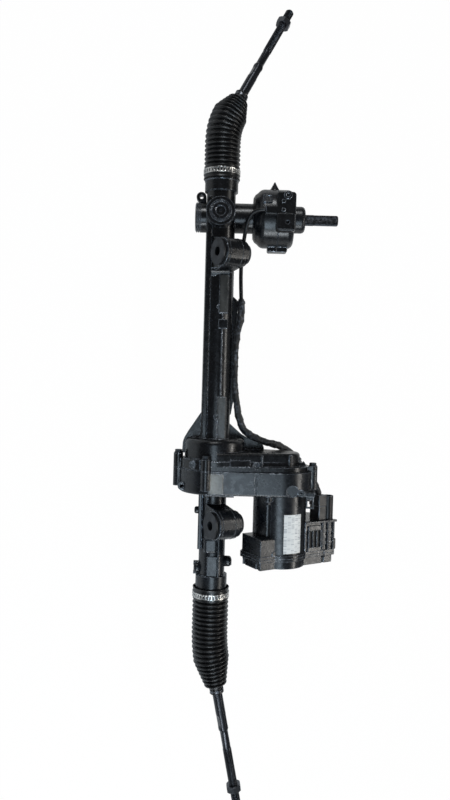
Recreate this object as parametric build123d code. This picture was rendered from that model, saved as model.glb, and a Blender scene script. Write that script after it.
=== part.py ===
"""Belt-drive electric steering rack, millimetres, +Z up.

The origin is the centre of the pinion side bush. X runs along the rack towards the motor, Y along the
bushes. Pieces are made in the rack frame, whose origin lies on the rack axis straight below the bush, and
the pinion tower is made upright and then tilted about the rack.
"""
from build123d import *
import math
import os

os.makedirs("parts", exist_ok=True)

# ---- driving dimensions ----------------------------------------------------------------------------------
# layout
PINION_X = -65.0            # pinion and yoke, from the pinion side bush
BUSH_SPACING = 420.0        # between the two mounting bushes, along the rack
BUSH_RISE = 45.0            # bush axis above the rack axis
BUSH_OFFSET = 5.0           # rack axis from the bush centre, in Y
TOWER_TILT = 31.0           # lean of the pinion tower about the rack
SEAM_X = 337.0              # joint between the two castings
PINION_BALL_X = -207.0      # ball centre of the pinion side tie rod
BALL_TO_BALL = 832.0        # between the two ball centres
RACK_TRAVEL = 75.0          # each way from the middle
FIT = 0.3                   # running clearance between pieces that move
SHAFT_FIT = 0.05            # and between a shaft and its bearing

# rack and pinion
RACK_DIAMETER = 26.0
PINION_TEETH = 7
TRAVEL_PER_TURN = 50.0      # rack travel for one turn of the pinion
PRESSURE_ANGLE = 25.0
PINION_ADDENDUM = 2.45
RACK_ADDENDUM = 1.2
ROOT_CLEARANCE = 0.35
BACKLASH = 0.2
RACK_TOOTH = 3.0            # tooth thickness on the pitch line
TOOTH_TIP_HEIGHT = 10.5     # tooth tips from the rack axis
PINION_FACE = 30.0
PINION_SHAFT_DIAMETER = 17.0

# ball screw and belt drive
SCREW_DIAMETER = 24.8       # rack where the ball track runs
NUT_DIAMETER = 50.0
NUT_LENGTH = 52.0
BALL_DIAMETER = 4.0
BALLS_PER_RING = 14
NUT_BEARING_DIAMETER = 76.0
NUT_BEARING_WIDTH = 20.0
BELT_PITCH = 5.0
NUT_PULLEY_TEETH = 60
MOTOR_PULLEY_TEETH = 22
BELT_WIDTH = 22.0
BELT_THICKNESS = 2.6
MOTOR_T = 106.0             # motor axis from the rack axis, across the tilted tower frame
MOTOR_W = 5.0               # and up in that frame

# castings
TUBE_DIAMETER = 46.0
TUBE_BORE = 29.0
COLLAR_DIAMETER = 53.0
NECK_DIAMETER = 50.0        # where the boots sit
NECK_LENGTH = 18.0
LOWER_TUBE_DIAMETER = 41.6
STOP_BORE = 42.0            # lets the ball sockets into the housing
TOWER_DIAMETER = 50.0
TOWER_END = 52.0            # tower flange from the rack axis
YOKE_BOSS_DIAMETER = 45.0
YOKE_BOSS_HEIGHT = 42.0
LOCK_RING_RADIUS = 17.0
BELL_START = 290.0
DOME_RADIUS = 30.0
DOME_START = 309.0
GEAR_FLANGE_X = 374.0       # face that the motor is bolted to
CASING_WALL = 3.5
BELT_CLEARANCE = 3.2        # between the pulleys' rims and the casing
GASKET_THICKNESS = 1.0
HOUSING_BOLT_DIAMETER = 6.0

# mounting bushes
LUG_DIAMETER = 45.0
LUG_LENGTH = 40.0
LUG_STEP = 5.0              # narrower end of the eye, on the far side
BUSH_SHELL_DIAMETER = 36.0
BUSH_SHELL_WALL = 1.5
BUSH_FLANGE_DIAMETER = 41.0
BUSH_LENGTH = 52.0
BUSH_BORE = 14.5
BUSH_SLEEVE_DIAMETER = 20.0

# torque sensor and input shaft
SENSOR_DIAMETER = 94.0
SENSOR_END = 117.0
SENSOR_SPLIT = 91.0
SENSOR_COLLAR_DIAMETER = 43.0
SENSOR_COLLAR_END = 136.0
INPUT_DIAMETER = 18.0       # ground where it runs in the collar
SPLINE_DIAMETER = 17.0
SPLINE_LENGTH = 38.0
INPUT_END = 189.5
TORSION_BAR_DIAMETER = 6.0
TIP_CHAMFER = 1.5

# tie rods
BALL_RADIUS = 14.0
SEAT_WALL = 2.0
SOCKET_DIAMETER = 40.0
SOCKET_DEPTH = 30.0         # from the ball centre to the face against the rack
SOCKET_MOUTH = 4.0          # from the ball centre to the rolled lip
SOCKET_CONE = 35.0          # half angle that the rod can swing
ROD_DIAMETER = 14.0         # M14 x 1.5 thread, over its crests
THREAD_PITCH_DIAMETER = 13.0
THREAD_LENGTH = 95.0
NUT_SETBACK = 29.0          # middle of the jam nut from the rod's tip
ROD_SHANK_DIAMETER = 16.0
ROD_NECK_DIAMETER = 13.0
JAM_NUT_AF = 22.0
JAM_NUT_HEIGHT = 11.0
PINION_ROD_LENGTH = 262.0   # ball centre to tip
MOTOR_ROD_LENGTH = 266.0
PINION_ROD_HEADING = 149.4  # rest direction, turned from +X about Z
PINION_ROD_DIP = 2.63
MOTOR_ROD_HEADING = 11.7
MOTOR_ROD_DIP = -2.09

# boots
BOOT_PEAK = 28.8            # crest radius on the straight part
BOOT_DEPTH = 4.4            # crest to valley
BOOT_WALL = 1.8
BOOT_PITCH = 7.0
BOOT_LIP_WIDTH = 19.0
CLAMP_WIDTH = 8.7
CLAMP_THICKNESS = 1.0

# motor and control unit
MOTOR_DIAMETER = 84.0
MOTOR_WALL = 3.0
ROTOR_DIAMETER = 40.0
MOTOR_SHAFT_DIAMETER = 12.0
ECU_LEFT = 33.0             # control unit from the rack axis, in Y
ECU_RIGHT = 178.0
ECU_BOTTOM = 20.0           # and in Z
ECU_TOP = 90.0
ECU_FLANGE_X = 470.0
ECU_FLANGE = 5.0
ECU_END = 486.0
ECU_WALL = 3.0
TERMINAL_BOX_WIDTH = 38.0   # box beside the foot of the motor
TERMINAL_BOX_DEPTH = 52.0
TERMINAL_BOX_RISE = 32.0

# wiring
CABLE_DIAMETER = 6.4
SLEEVE_DIAMETER = 11.0

# ---- worked out from them ----------------------------------------------------------------------------------
RACK_RADIUS = RACK_DIAMETER / 2
PITCH_RADIUS = TRAVEL_PER_TURN / (2 * math.pi)
TOOTH_PITCH = TRAVEL_PER_TURN / PINION_TEETH
PITCH_LINE = TOOTH_TIP_HEIGHT - RACK_ADDENDUM
PINION_W = -(PITCH_LINE + PITCH_RADIUS)
PINION_TIP = PITCH_RADIUS + PINION_ADDENDUM
MOTOR_BALL_X = PINION_BALL_X + BALL_TO_BALL
TUBE_START = PINION_X - 37.0
COLLAR_START = TUBE_START - 20.0
NECK_START = COLLAR_START - NECK_LENGTH
MOTOR_END = ECU_FLANGE_X - ECU_FLANGE
GEAR_COLLAR_X = BUSH_SPACING + 87.0
GEAR_LIP_X = GEAR_COLLAR_X + 20.0
NECK_END = GEAR_LIP_X + NECK_LENGTH
STOP_CLEARANCE = 2.0
MOTOR_CENTRE = (MOTOR_T, MOTOR_W)
TILT = math.radians(TOWER_TILT)
MOTOR_Y = MOTOR_T * math.cos(TILT) - MOTOR_W * math.sin(TILT)
MOTOR_Z = MOTOR_T * math.sin(TILT) + MOTOR_W * math.cos(TILT)
NUT_PULLEY_RADIUS = NUT_PULLEY_TEETH * BELT_PITCH / (2 * math.pi)
MOTOR_PULLEY_RADIUS = MOTOR_PULLEY_TEETH * BELT_PITCH / (2 * math.pi)
BELL_RADIUS = NUT_PULLEY_RADIUS + BELT_CLEARANCE + CASING_WALL
BELT_X = SEAM_X + 2.0       # middle of the belt
BELT_CAVITY = BELT_X - BELT_WIDTH / 2 - 2.0
NUT_START = SEAM_X - 37.0
BEARING_END = NUT_START + NUT_BEARING_WIDTH
BASE = (Align.CENTER, Align.CENTER, Align.MIN)


# ---- shapes used all over --------------------------------------------------------------------------------
def along_x(radius, start, end, y=0.0, z=0.0):
    return Pos(start, y, z) * Rot(0, 90, 0) * Cylinder(radius, end - start, align=BASE)


def along_y(radius, start, end, x=0.0, z=0.0):
    return Pos(x, start, z) * Rot(-90, 0, 0) * Cylinder(radius, end - start, align=BASE)


def along_z(radius, start, end, x=0.0, y=0.0):
    return Pos(x, y, start) * Cylinder(radius, end - start, align=BASE)


def block(x, y, z):
    """A box from three (low, high) pairs."""
    centre = [(low + high) / 2 for low, high in (x, y, z)]
    return Pos(*centre) * Box(x[1] - x[0], y[1] - y[0], z[1] - z[0])


def prism_x(sketch, start, end):
    """A (y, z) outline pushed along X."""
    return extrude(Plane.YZ.offset(start) * sketch, end - start, dir=(1, 0, 0))


def plate(points, low, high):
    """An (x, y) outline pushed along Z."""
    return extrude(Plane.XY.offset(low) * Polygon(*points, align=None), high - low, dir=(0, 0, 1))


def turned(points, centre=(0, 0, 0)):
    """A ring or disc of (along, radius) points, turned about X."""
    outline = Plane.XZ * Polygon(*points, align=None)
    return Pos(*centre) * revolve(outline, Axis.X)


def turned_y(points, x, z):
    """The same, turned about an axis along Y."""
    return Pos(x, 0, z) * Rot(0, 0, 90) * turned(points)


def softened(shape, along, radius, high_only=True):
    """Rounds a block's edges along one axis, only the upper ones unless told otherwise."""
    edges = shape.edges().filter_by(along)
    return fillet(edges.group_by(Axis.Z)[-1] if high_only else edges, radius)


def tilted(shape):
    return Rot(TOWER_TILT, 0, 0) * shape


def capsule(first, first_radius, second, second_radius):
    """The outline of a belt round two circles."""
    dx, dy = second[0] - first[0], second[1] - first[1]
    gap = math.hypot(dx, dy)
    heading = math.atan2(dy, dx)
    spread = math.acos((first_radius - second_radius) / gap)
    sides = [(first, first_radius, -1), (second, second_radius, -1), (second, second_radius, 1), (first, first_radius, 1)]
    corners = [
        (centre[0] + radius * math.cos(heading + side * spread), centre[1] + radius * math.sin(heading + side * spread))
        for centre, radius, side in sides
    ]
    outline = Polygon(*corners, align=None)
    return outline + Pos(*first) * Circle(first_radius) + Pos(*second) * Circle(second_radius)


def casing(rack_radius, motor_radius):
    """The outline that goes round both pulleys."""
    return capsule((0, 0), rack_radius, MOTOR_CENTRE, motor_radius)


def save(name, *solids):
    """Moves the pieces from the rack frame to the bush frame and writes them as one node."""
    moved = [Pos(0, BUSH_OFFSET, -BUSH_RISE) * solid for solid in solids]
    pieces = [piece for shape in moved for piece in shape.solids()]
    shape = pieces[0] if len(pieces) == 1 else Compound(children=pieces)
    export_step(shape, f"parts/{name}.step")


# ---- rack and pinion ---------------------------------------------------------------------------------------
def rack_spaces():
    """The tooth spaces, cut down to the root, all along the toothed length."""
    slope = math.tan(math.radians(PRESSURE_ANGLE))
    root = PINION_ADDENDUM + ROOT_CLEARANCE
    above = RACK_RADIUS - PITCH_LINE + 1.0
    half = (TOOTH_PITCH - RACK_TOOTH) / 2
    count = math.ceil((RACK_TRAVEL + PINION_TIP) / TOOTH_PITCH)
    cuts = []
    for index in range(-count, count + 1):
        middle = PINION_X + index * TOOTH_PITCH
        low, high = half - root * slope, half + above * slope
        corners = [(middle - low, -PITCH_LINE + root), (middle + low, -PITCH_LINE + root)]
        corners += [(middle + high, -PITCH_LINE - above), (middle - high, -PITCH_LINE - above)]
        cuts.append(extrude(Plane.XZ * Polygon(*corners, align=None), RACK_DIAMETER / 2, both=True))
    reach = (count + 0.5) * TOOTH_PITCH
    land = block((PINION_X - reach, PINION_X + reach), (-RACK_RADIUS, RACK_RADIUS), (-RACK_DIAMETER, -TOOTH_TIP_HEIGHT))
    return [land, *cuts]


def rack_bar():
    start, end = PINION_BALL_X + SOCKET_DEPTH, MOTOR_BALL_X - SOCKET_DEPTH
    bar = along_x(RACK_RADIUS, start, end)
    screw = (NUT_START - RACK_TRAVEL - 4, NUT_START + NUT_LENGTH + RACK_TRAVEL + 4)
    groove = along_x(RACK_DIAMETER, *screw) - along_x(SCREW_DIAMETER / 2, *screw)
    for cut in rack_spaces():
        bar -= tilted(cut)
    bar -= groove
    stub = RACK_RADIUS - 4.0
    return bar + along_x(stub, start - 12, start) + along_x(stub, end, end + 12)


def rack_bush():
    """Plastic guide ring at the far end of the tube."""
    start = GEAR_COLLAR_X - 14
    return along_x(TUBE_BORE / 2, start, start + 20) - along_x(RACK_RADIUS + 2 * SHAFT_FIT, start, start + 20)


def pinion_outline():
    """Involute teeth with radial roots, one tooth pointing at the rack."""
    base = PITCH_RADIUS * math.cos(math.radians(PRESSURE_ANGLE))
    root = PITCH_RADIUS - RACK_ADDENDUM - ROOT_CLEARANCE
    involute = lambda angle: math.tan(angle) - angle
    thickness = TOOTH_PITCH - RACK_TOOTH - BACKLASH
    half_at_pitch = thickness / (2 * PITCH_RADIUS) + involute(math.radians(PRESSURE_ANGLE))
    flank = [(root, half_at_pitch)]
    steps = 5
    for step in range(steps + 1):
        radius = base + (PINION_TIP - base) * step / steps
        flank.append((radius, half_at_pitch - involute(math.acos(base / radius))))
    points = []
    for tooth in range(PINION_TEETH):
        middle = math.pi / 2 + tooth * 2 * math.pi / PINION_TEETH
        points += [(radius, middle - half) for radius, half in flank]
        points += [(radius, middle + half) for radius, half in reversed(flank)]
    return Polygon(*[(radius * math.cos(a), radius * math.sin(a)) for radius, a in points], align=None)


LOWER_JOURNAL = (-30.0, -20.0)   # pinion bearings, along the tower
UPPER_JOURNAL = (22.0, 36.0)
JOURNAL_RADIUS = 8.0
TORSION_BAR = (20.0, 176.0)


def pinion():
    """Toothed length, two journals and the head that holds the torsion bar."""
    teeth = extrude(Plane.XZ * pinion_outline(), PINION_FACE / 2, both=True)
    shaft = along_y(JOURNAL_RADIUS - 2, LOWER_JOURNAL[0], UPPER_JOURNAL[0])
    shaft += along_y(JOURNAL_RADIUS, *LOWER_JOURNAL)
    shaft += along_y(JOURNAL_RADIUS + 1.5, PINION_FACE / 2, UPPER_JOURNAL[1] + 2)
    shaft += along_y(JOURNAL_RADIUS + 4, UPPER_JOURNAL[1] + 2, TOWER_END + 16)
    shaft -= along_y(TORSION_BAR_DIAMETER / 2, TORSION_BAR[0], TOWER_END + 16)
    shaft -= along_y(INPUT_DIAMETER / 2 + FIT, TOWER_END + 2, TOWER_END + 16)
    return Pos(PINION_X, 0, PINION_W) * (teeth + shaft)


def torsion_bar():
    bar = along_y(TORSION_BAR_DIAMETER / 2, *TORSION_BAR)
    bar -= along_y(TORSION_BAR_DIAMETER, TORSION_BAR[0] + 12, TORSION_BAR[1] - 12)
    bar += along_y(TORSION_BAR_DIAMETER / 2 - 0.8, TORSION_BAR[0] + 12, TORSION_BAR[1] - 12)
    return Pos(PINION_X, 0, PINION_W) * bar


def input_shaft():
    """Hollow shaft with the grooves and the splined end that the steering column takes."""
    radius, spline = INPUT_DIAMETER / 2, SPLINE_DIAMETER / 2
    tip = INPUT_END - TIP_CHAMFER
    shaft = along_y(radius, TOWER_END + 4, tip - SPLINE_LENGTH)
    shaft += along_y(spline, tip - SPLINE_LENGTH, tip)
    shaft += Pos(0, tip, 0) * Rot(-90, 0, 0) * Cone(spline, spline - TIP_CHAMFER, TIP_CHAMFER, align=BASE)
    shaft -= along_y(TORSION_BAR_DIAMETER / 2 + FIT, TOWER_END, TORSION_BAR[1] + 2)
    for place in (SENSOR_COLLAR_END + 6, SENSOR_COLLAR_END + 10):
        shaft -= along_y(radius + 1, place, place + 1.6) - along_y(radius - 1, place, place + 1.6)
    return Pos(PINION_X, 0, PINION_W) * shaft


def ring_y(inner, outer, start, end):
    ring = along_y(outer, start, end) - along_y(inner, start, end)
    return Pos(PINION_X, 0, PINION_W) * ring


# ---- tie rods ------------------------------------------------------------------------------------------------
def side_frame(ball_x, heading, dip):
    """Places a piece made along +X from the ball centre."""
    return Pos(ball_x, 0, 0) * Rot(0, 0, heading) * Rot(0, dip, 0)


def socket(ball_x, turn):
    """Ball housing, screwed on the end of the rack. It is made with its mouth towards +X."""
    radius = SOCKET_DIAMETER / 2
    stub = RACK_RADIUS - 4.0
    seat = BALL_RADIUS + SEAT_WALL
    outline = [(-SOCKET_DEPTH, 0), (-SOCKET_DEPTH, radius - 3), (-SOCKET_DEPTH + 2, radius - 2)]
    outline += [(-14, radius - 2), (-12, radius), (0, radius), (SOCKET_MOUTH + 2, radius - 3.5), (SOCKET_MOUTH + 2, 0)]
    body = turned(outline)
    body -= Sphere(seat)
    body -= along_x(mouth_radius(SOCKET_MOUTH) + 0.6, 0, SOCKET_MOUTH)
    body -= mouth_cone(0.6)
    body -= along_x(stub, -SOCKET_DEPTH, -SOCKET_DEPTH + 12)
    flats = block((-SOCKET_DEPTH + 4, -16), (radius - 4.5, radius), (-radius, radius))
    body = body - flats - Rot(180, 0, 0) * flats
    return Pos(ball_x, 0, 0) * Rot(0, 0, turn) * body


def mouth_radius(distance):
    """How far out the rod's neck reaches at full swing, at a distance from the ball centre."""
    cone = math.radians(SOCKET_CONE)
    return distance * math.tan(cone) + ROD_NECK_DIAMETER / 2 / math.cos(cone)


def mouth_cone(extra):
    far = SOCKET_MOUTH + 8
    points = [(0, 0), (0, mouth_radius(0) + extra), (far, mouth_radius(far) + extra), (far, 0)]
    return turned(points)


def ball_seat(ball_x, turn):
    """Plastic shell round the ball, open towards the rod."""
    far = 2 * BALL_RADIUS
    ring = Circle(BALL_RADIUS + SEAT_WALL - FIT / 2) - Circle(BALL_RADIUS + FIT / 2)
    ring -= Pos(0, -far) * Rectangle(2 * far, 2 * far)
    ring -= Pos(SOCKET_MOUTH - 1.0 + far, 0) * Rectangle(2 * far, 2 * far)
    return Pos(ball_x, 0, 0) * Rot(0, 0, turn) * revolve(Plane.XZ * ring, Axis.X)


def tie_rod(length):
    """Ball, neck, shank, spanner flats and thread, along +X.

    The thread is plain: as wide as its pitch line up to the jam nut, and as its crests past it.
    """
    shank = ROD_SHANK_DIAMETER / 2
    neck = ROD_NECK_DIAMETER / 2
    thread_start = length - THREAD_LENGTH
    free_thread = length - NUT_SETBACK + JAM_NUT_HEIGHT / 2
    rod = Sphere(BALL_RADIUS) + along_x(neck, 0, 34)
    rod += turned([(34, 0), (34, neck), (44, shank), (thread_start - 34, shank), (thread_start - 30, neck), (thread_start - 30, 0)])
    rod += along_x(neck, thread_start - 30, thread_start)
    rod += along_x(THREAD_PITCH_DIAMETER / 2, thread_start, free_thread)
    crest = ROD_DIAMETER / 2
    rod += turned([(free_thread, 0), (free_thread, crest), (length - 2, crest), (length, crest - 2), (length, 0)])
    flat = shank - 1.8
    for side in (1, -1):
        rod -= block((thread_start - 58, thread_start - 38), sorted((side * flat, side * shank * 2)), (-shank, shank))
    return rod


def jam_nut(length):
    """Hexagon with both ends chamfered."""
    start = length - NUT_SETBACK - JAM_NUT_HEIGHT / 2
    end = start + JAM_NUT_HEIGHT
    corner = JAM_NUT_AF / math.sqrt(3)
    nut = prism_x(RegularPolygon(corner, 6), start, end)
    bevel = [(start, 0), (start, corner - 1.6), (start + 1.2, corner), (end - 1.2, corner), (end, corner - 1.6), (end, 0)]
    return (nut & turned(bevel)) - along_x(THREAD_PITCH_DIAMETER / 2, start, end)


# ---- boots -------------------------------------------------------------------------------------------------
def bellows(straight, crests, neck_radius, neck_length, ball_x, outward, heading, dip):
    """Straight folds from the housing to the ball, then folds that follow the rod and taper to its neck.

    straight is the length from the ball back to the lip. The two halves meet on the plane that halves the bend.
    """
    valley = BOOT_PEAK - BOOT_DEPTH
    inside = valley - BOOT_WALL
    folds = int((straight - BOOT_LIP_WIDTH) / BOOT_PITCH)
    first = -folds * BOOT_PITCH
    extra = 2 * BOOT_PITCH
    lip = NECK_DIAMETER / 2 + FIT
    outer = [(-straight, BOOT_PEAK + 0.4), (-straight + 4, BOOT_PEAK + 0.4), (-straight + 5, lip + 3), (first - 1, lip + 3), (first, valley)]
    for fold in range(folds + 2):
        start = first + fold * BOOT_PITCH
        outer += [(start + BOOT_PITCH / 2, BOOT_PEAK), (start + BOOT_PITCH, valley)]
    inner = [(extra, inside), (first + 2, inside), (first - 1, lip), (-straight, lip)]
    near = turned(outer + inner)
    outer = [(-extra, valley)]
    for fold in range(-2, len(crests)):
        crest = crests[fold] if fold >= 0 else BOOT_PEAK
        after = crests[fold + 1] if -1 <= fold < len(crests) - 1 else crest
        start = fold * BOOT_PITCH
        outer += [(start + BOOT_PITCH / 2, crest), (start + BOOT_PITCH, min(crest, after) - BOOT_DEPTH)]
    end = len(crests) * BOOT_PITCH
    outer += [(end + 2, neck_radius + BOOT_WALL), (end + neck_length, neck_radius + BOOT_WALL)]
    inner = [(end + neck_length, neck_radius), (end, neck_radius), (end - BOOT_PITCH, crests[-1] - BOOT_DEPTH - BOOT_WALL)]
    inner += [(2 * BOOT_PITCH, inside), (-extra, inside)]
    far = turned(outer + inner)
    near = Rot(0, 0, 0 if outward > 0 else 180) * near
    far = Rot(0, 0, heading) * Rot(0, dip, 0) * far
    direction = Vector(outward, 0, 0) + Vector(1, 0, 0).rotate(Axis.Y, dip).rotate(Axis.Z, heading)
    mitre = Plane(origin=(0, 0, 0), z_dir=direction)
    near = split(near, bisect_by=mitre, keep=Keep.BOTTOM)
    far = split(far, bisect_by=mitre, keep=Keep.TOP)
    return Pos(ball_x, 0, 0) * (near + far)


def tapering(count, keep, last):
    """Crest radii: full size for the first few folds, then down to the last in even steps."""
    steps = count - keep
    return [BOOT_PEAK] * keep + [BOOT_PEAK + (last - BOOT_PEAK) * (step + 1) / steps for step in range(steps)]


PINION_CRESTS = tapering(8, 4, 17.0)
MOTOR_CRESTS = tapering(9, 3, 18.0)
BOOT_NECK = ROD_SHANK_DIAMETER / 2 + FIT
BOOT_NECK_LENGTH = 12.0


def boot_clamp(middle):
    """Band with its folded ear, on the boot's large end."""
    inner = NECK_DIAMETER / 2 + FIT + 3
    outer = inner + CLAMP_THICKNESS
    band = along_x(outer, middle - CLAMP_WIDTH / 2, middle + CLAMP_WIDTH / 2)
    ear = block((middle - 3, middle + 3), (-4, 4), (-outer - 2.5, -inner - 0.3))
    return band - along_x(inner, middle - CLAMP_WIDTH, middle + CLAMP_WIDTH) + ear


def boot_clip(crests):
    """Spring clip on the small end, along +X from the ball."""
    place = len(crests) * BOOT_PITCH + BOOT_NECK_LENGTH - 6
    radius = BOOT_NECK + BOOT_WALL + SHAFT_FIT
    ring = along_x(radius + 1.2, place, place + 4) - along_x(radius, place, place + 4)
    return ring


# ---- castings ----------------------------------------------------------------------------------------------
FLANGE = 7.0
BOSS_RADIUS = 7.5
BOLT_END = GEAR_FLANGE_X - 20
BOSS_END = GEAR_FLANGE_X - 8
DOME_FLANGE_RADIUS = DOME_RADIUS + 14


def on_circle(centre, radius, angle):
    return centre[0] + radius * math.cos(math.radians(angle)), centre[1] + radius * math.sin(math.radians(angle))


# bolts that clamp the two castings: (t, w) in the tower frame and the length of the upper boss
HOUSING_BOLTS = [
    (*on_circle((0, 0), BELL_RADIUS + 3, 174), 22.0),
    (*on_circle((0, 0), BELL_RADIUS + 5, 101.7), 18.0),
    (*on_circle((0, 0), BELL_RADIUS + 5, 248.2), 18.0),
    (*on_circle(MOTOR_CENTRE, DOME_FLANGE_RADIUS + 7, 10.2), FLANGE),
    (*on_circle(MOTOR_CENTRE, DOME_FLANGE_RADIUS + 9, 276.5), FLANGE),
    (*on_circle(MOTOR_CENTRE, DOME_FLANGE_RADIUS + 22, 233.6), FLANGE),
]


def lug(x):
    """Solid eye for a mounting bush, on a tapering web that grows out of the tube."""
    near, far = -BUSH_OFFSET - LUG_LENGTH / 2, -BUSH_OFFSET + LUG_LENGTH / 2
    eye = along_y(LUG_DIAMETER / 2, near, far - LUG_STEP, x, BUSH_RISE)
    eye = fillet(eye.edges().filter_by(GeomType.CIRCLE).sort_by(Axis.Y)[-1], 1.5)
    eye += along_y(LUG_DIAMETER / 2 - 2.3, far - LUG_STEP - 3, far, x, BUSH_RISE)
    half = LUG_DIAMETER / 2 - 1
    web = Polygon((-half - 9, 0), (-half, BUSH_RISE), (half, BUSH_RISE), (half + 9, 0), align=None)
    arm = extrude(Plane.XZ.offset(BUSH_OFFSET) * web, LUG_LENGTH / 2 - 4, both=True)
    return eye + Pos(x, 0, 0) * arm


def lug_bore(x):
    return along_y(BUSH_SHELL_DIAMETER / 2, -BUSH_OFFSET - LUG_LENGTH, -BUSH_OFFSET + LUG_LENGTH, x, BUSH_RISE)


def bolt_bosses(end, length=None):
    """Round bosses for the housing bolts, each of its own length or all of one length, up to an end face."""
    return [along_x(BOSS_RADIUS, end - (length or boss), end, t, w) for t, w, boss in HOUSING_BOLTS]


def bolt_holes(start, end):
    return [along_x(HOUSING_BOLT_DIAMETER / 2, start, end, t, w) for t, w, boss in HOUSING_BOLTS]


def boss_webs(start, end):
    """Flange ears that tie the bolt bosses to the casing."""
    ears = []
    for t, w, boss in HOUSING_BOLTS:
        near = (0, 0) if t < 40 else MOTOR_CENTRE
        ears.append(prism_x(capsule(near, BOSS_RADIUS + 0.5, (t, w), BOSS_RADIUS), start, end))
    return ears


def end_cap_ear():
    """Threaded ear beside the pinion's end cap."""
    x, t = PINION_X - TOWER_DIAMETER / 2 - 6.6, -32.0
    ear = along_z(8, PINION_W - 6, PINION_W + 9, x, t) + block((x, PINION_X), (t, t + 8), (PINION_W - 6, PINION_W + 6))
    return ear - along_z(3.2, PINION_W - 7, PINION_W + 10, x, t)


RIB_TOP = TUBE_DIAMETER / 2 + 3
RIB_T = (1.5, 15.5)             # wide rib on the side that faces up


def tube_ribs():
    """Side rail, ribs, small bosses and the parting ridge of the tube."""
    tube = TUBE_DIAMETER / 2
    low, high = RIB_T
    rail = softened(block((TUBE_START + 10, BELL_START + 5), (-tube + 1.5, -13), (-16, tube - 2)), Axis.X, 2.0)
    rib = softened(block((32, 92), RIB_T, (0, RIB_TOP)), Axis.X, 1.5)
    boss = softened(block((102, 116), RIB_T, (0, RIB_TOP - 0.5)), Axis.X, 1.0)
    thick = block((224, BELL_START + 5), (low + 1, high + 2), (0, RIB_TOP + 1))
    thick = chamfer(thick.edges().filter_by(Axis.X).group_by(Axis.Z)[-1], 2.5)
    ridge = block((90, 226), (6.4, 8.0), (tube - 8, tube + 0.4))
    side = block((20, 250), (19, tube + 0.5), (-14, -4))
    marks = along_z(3.6, tube - 8, RIB_TOP - 0.8, 81.8, low) - along_z(2.2, RIB_TOP - 1.8, RIB_TOP, 81.8, low)
    ring = along_z(5.0, tube - 8, RIB_TOP + 0.4, 254.9, low + 1) - along_z(2.6, RIB_TOP - 1, RIB_TOP + 2, 254.9, low + 1)
    line = block((258, BELL_START + 8), (low, low + 1.8), (0, RIB_TOP + 1.6))
    return [rail, rib, boss, thick, ridge, side, marks, ring, line]


LEDGE_TOP = -2.8                # the harness lies on this side web of the tube


def housing_webs():
    """Flared webs between tube and bell, and the ledge under the harness."""
    left = [(236, -20), (242.4, -21.4), (248.6, -22.2), (257, -28), (269.3, -35.8), (279.8, -42.8), (290.1, -48.6)]
    left += [(297.2, -51), (315, -52), (315, 0), (236, 0)]
    ledge = [(62, 15), (62, 22), (70, 31), (228, 29), (236, 27), (252, 24.5), (258, 15)]
    right = [(258, 10), (268, 23.3), (274.6, 30.7), (284.5, 42.4), (290, 52), (293, 66), (297, 77), (306, 80), (313, 80), (313, 10)]
    return [plate(left, -6, 0), plate(ledge, LEDGE_TOP - 4, LEDGE_TOP), plate(right, -23, -18.5)]


PLUG_RADIUS = 4.2               # threaded plugs in the front of the belt case
PLUG_X = 328.0
PLUG_HOLES = (-32.0, 66.0)
PLUG_DEPTH = 3.0                # of the plug's hole in its boss


def case_height(t, grow=0.0):
    """Height of the belt case's front over the rack axis, at t across the tower frame."""
    radius = BELL_RADIUS + grow
    if t < 0:
        return math.sqrt(radius ** 2 - t ** 2)
    gap = math.hypot(*MOTOR_CENTRE)
    normal = math.atan2(MOTOR_W, MOTOR_T) + math.acos((BELL_RADIUS - DOME_RADIUS) / gap)
    return (radius - t * math.cos(normal)) / math.sin(normal)


def plug_floor(t):
    return case_height(t) + 0.5


def bell_pads(end):
    """Raised pads, strips, plug bosses and the blank plate on the front of the belt case."""
    skin = prism_x(casing(BELL_RADIUS + 1.3, DOME_RADIUS + 1.3), DOME_START + 3, end)
    tall = (5, 2 * BELL_RADIUS)
    pads = [((320, end), (-47, -21)), ((320, 332.5), (25, 56)), ((312, 334), (73.5, 75.5)), ((312, 334), (117, 122.5))]
    pieces = [skin & block(x, t, tall) for x, t in pads]
    pieces.append(block((324, end), (-7.6, -5.6), (30, case_height(-6) + 2)))
    for t in PLUG_HOLES:
        pieces.append(along_z(PLUG_RADIUS + 1.6, plug_floor(t) - 6, plug_floor(t) + PLUG_DEPTH, PLUG_X, t))
    panel = [(311, 120), (311, 129), (316, 136), (325, 144), (331, 146), (end, 146), (end, 120)]
    pieces.append(plate(panel, 9, 13) - along_z(2.6, 5, 20, 322, 138.7))
    return pieces


def housing_plugs():
    """Two round plugs with a hexagon recess."""
    plugs = []
    for t in PLUG_HOLES:
        low, high = plug_floor(t), plug_floor(t) + PLUG_DEPTH - 0.6
        plug = along_z(PLUG_RADIUS, low, high, PLUG_X, t)
        plugs.append(plug - extrude(Pos(PLUG_X, t, high - 1.8) * RegularPolygon(2.3, 6), 3))
    return plugs


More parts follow.
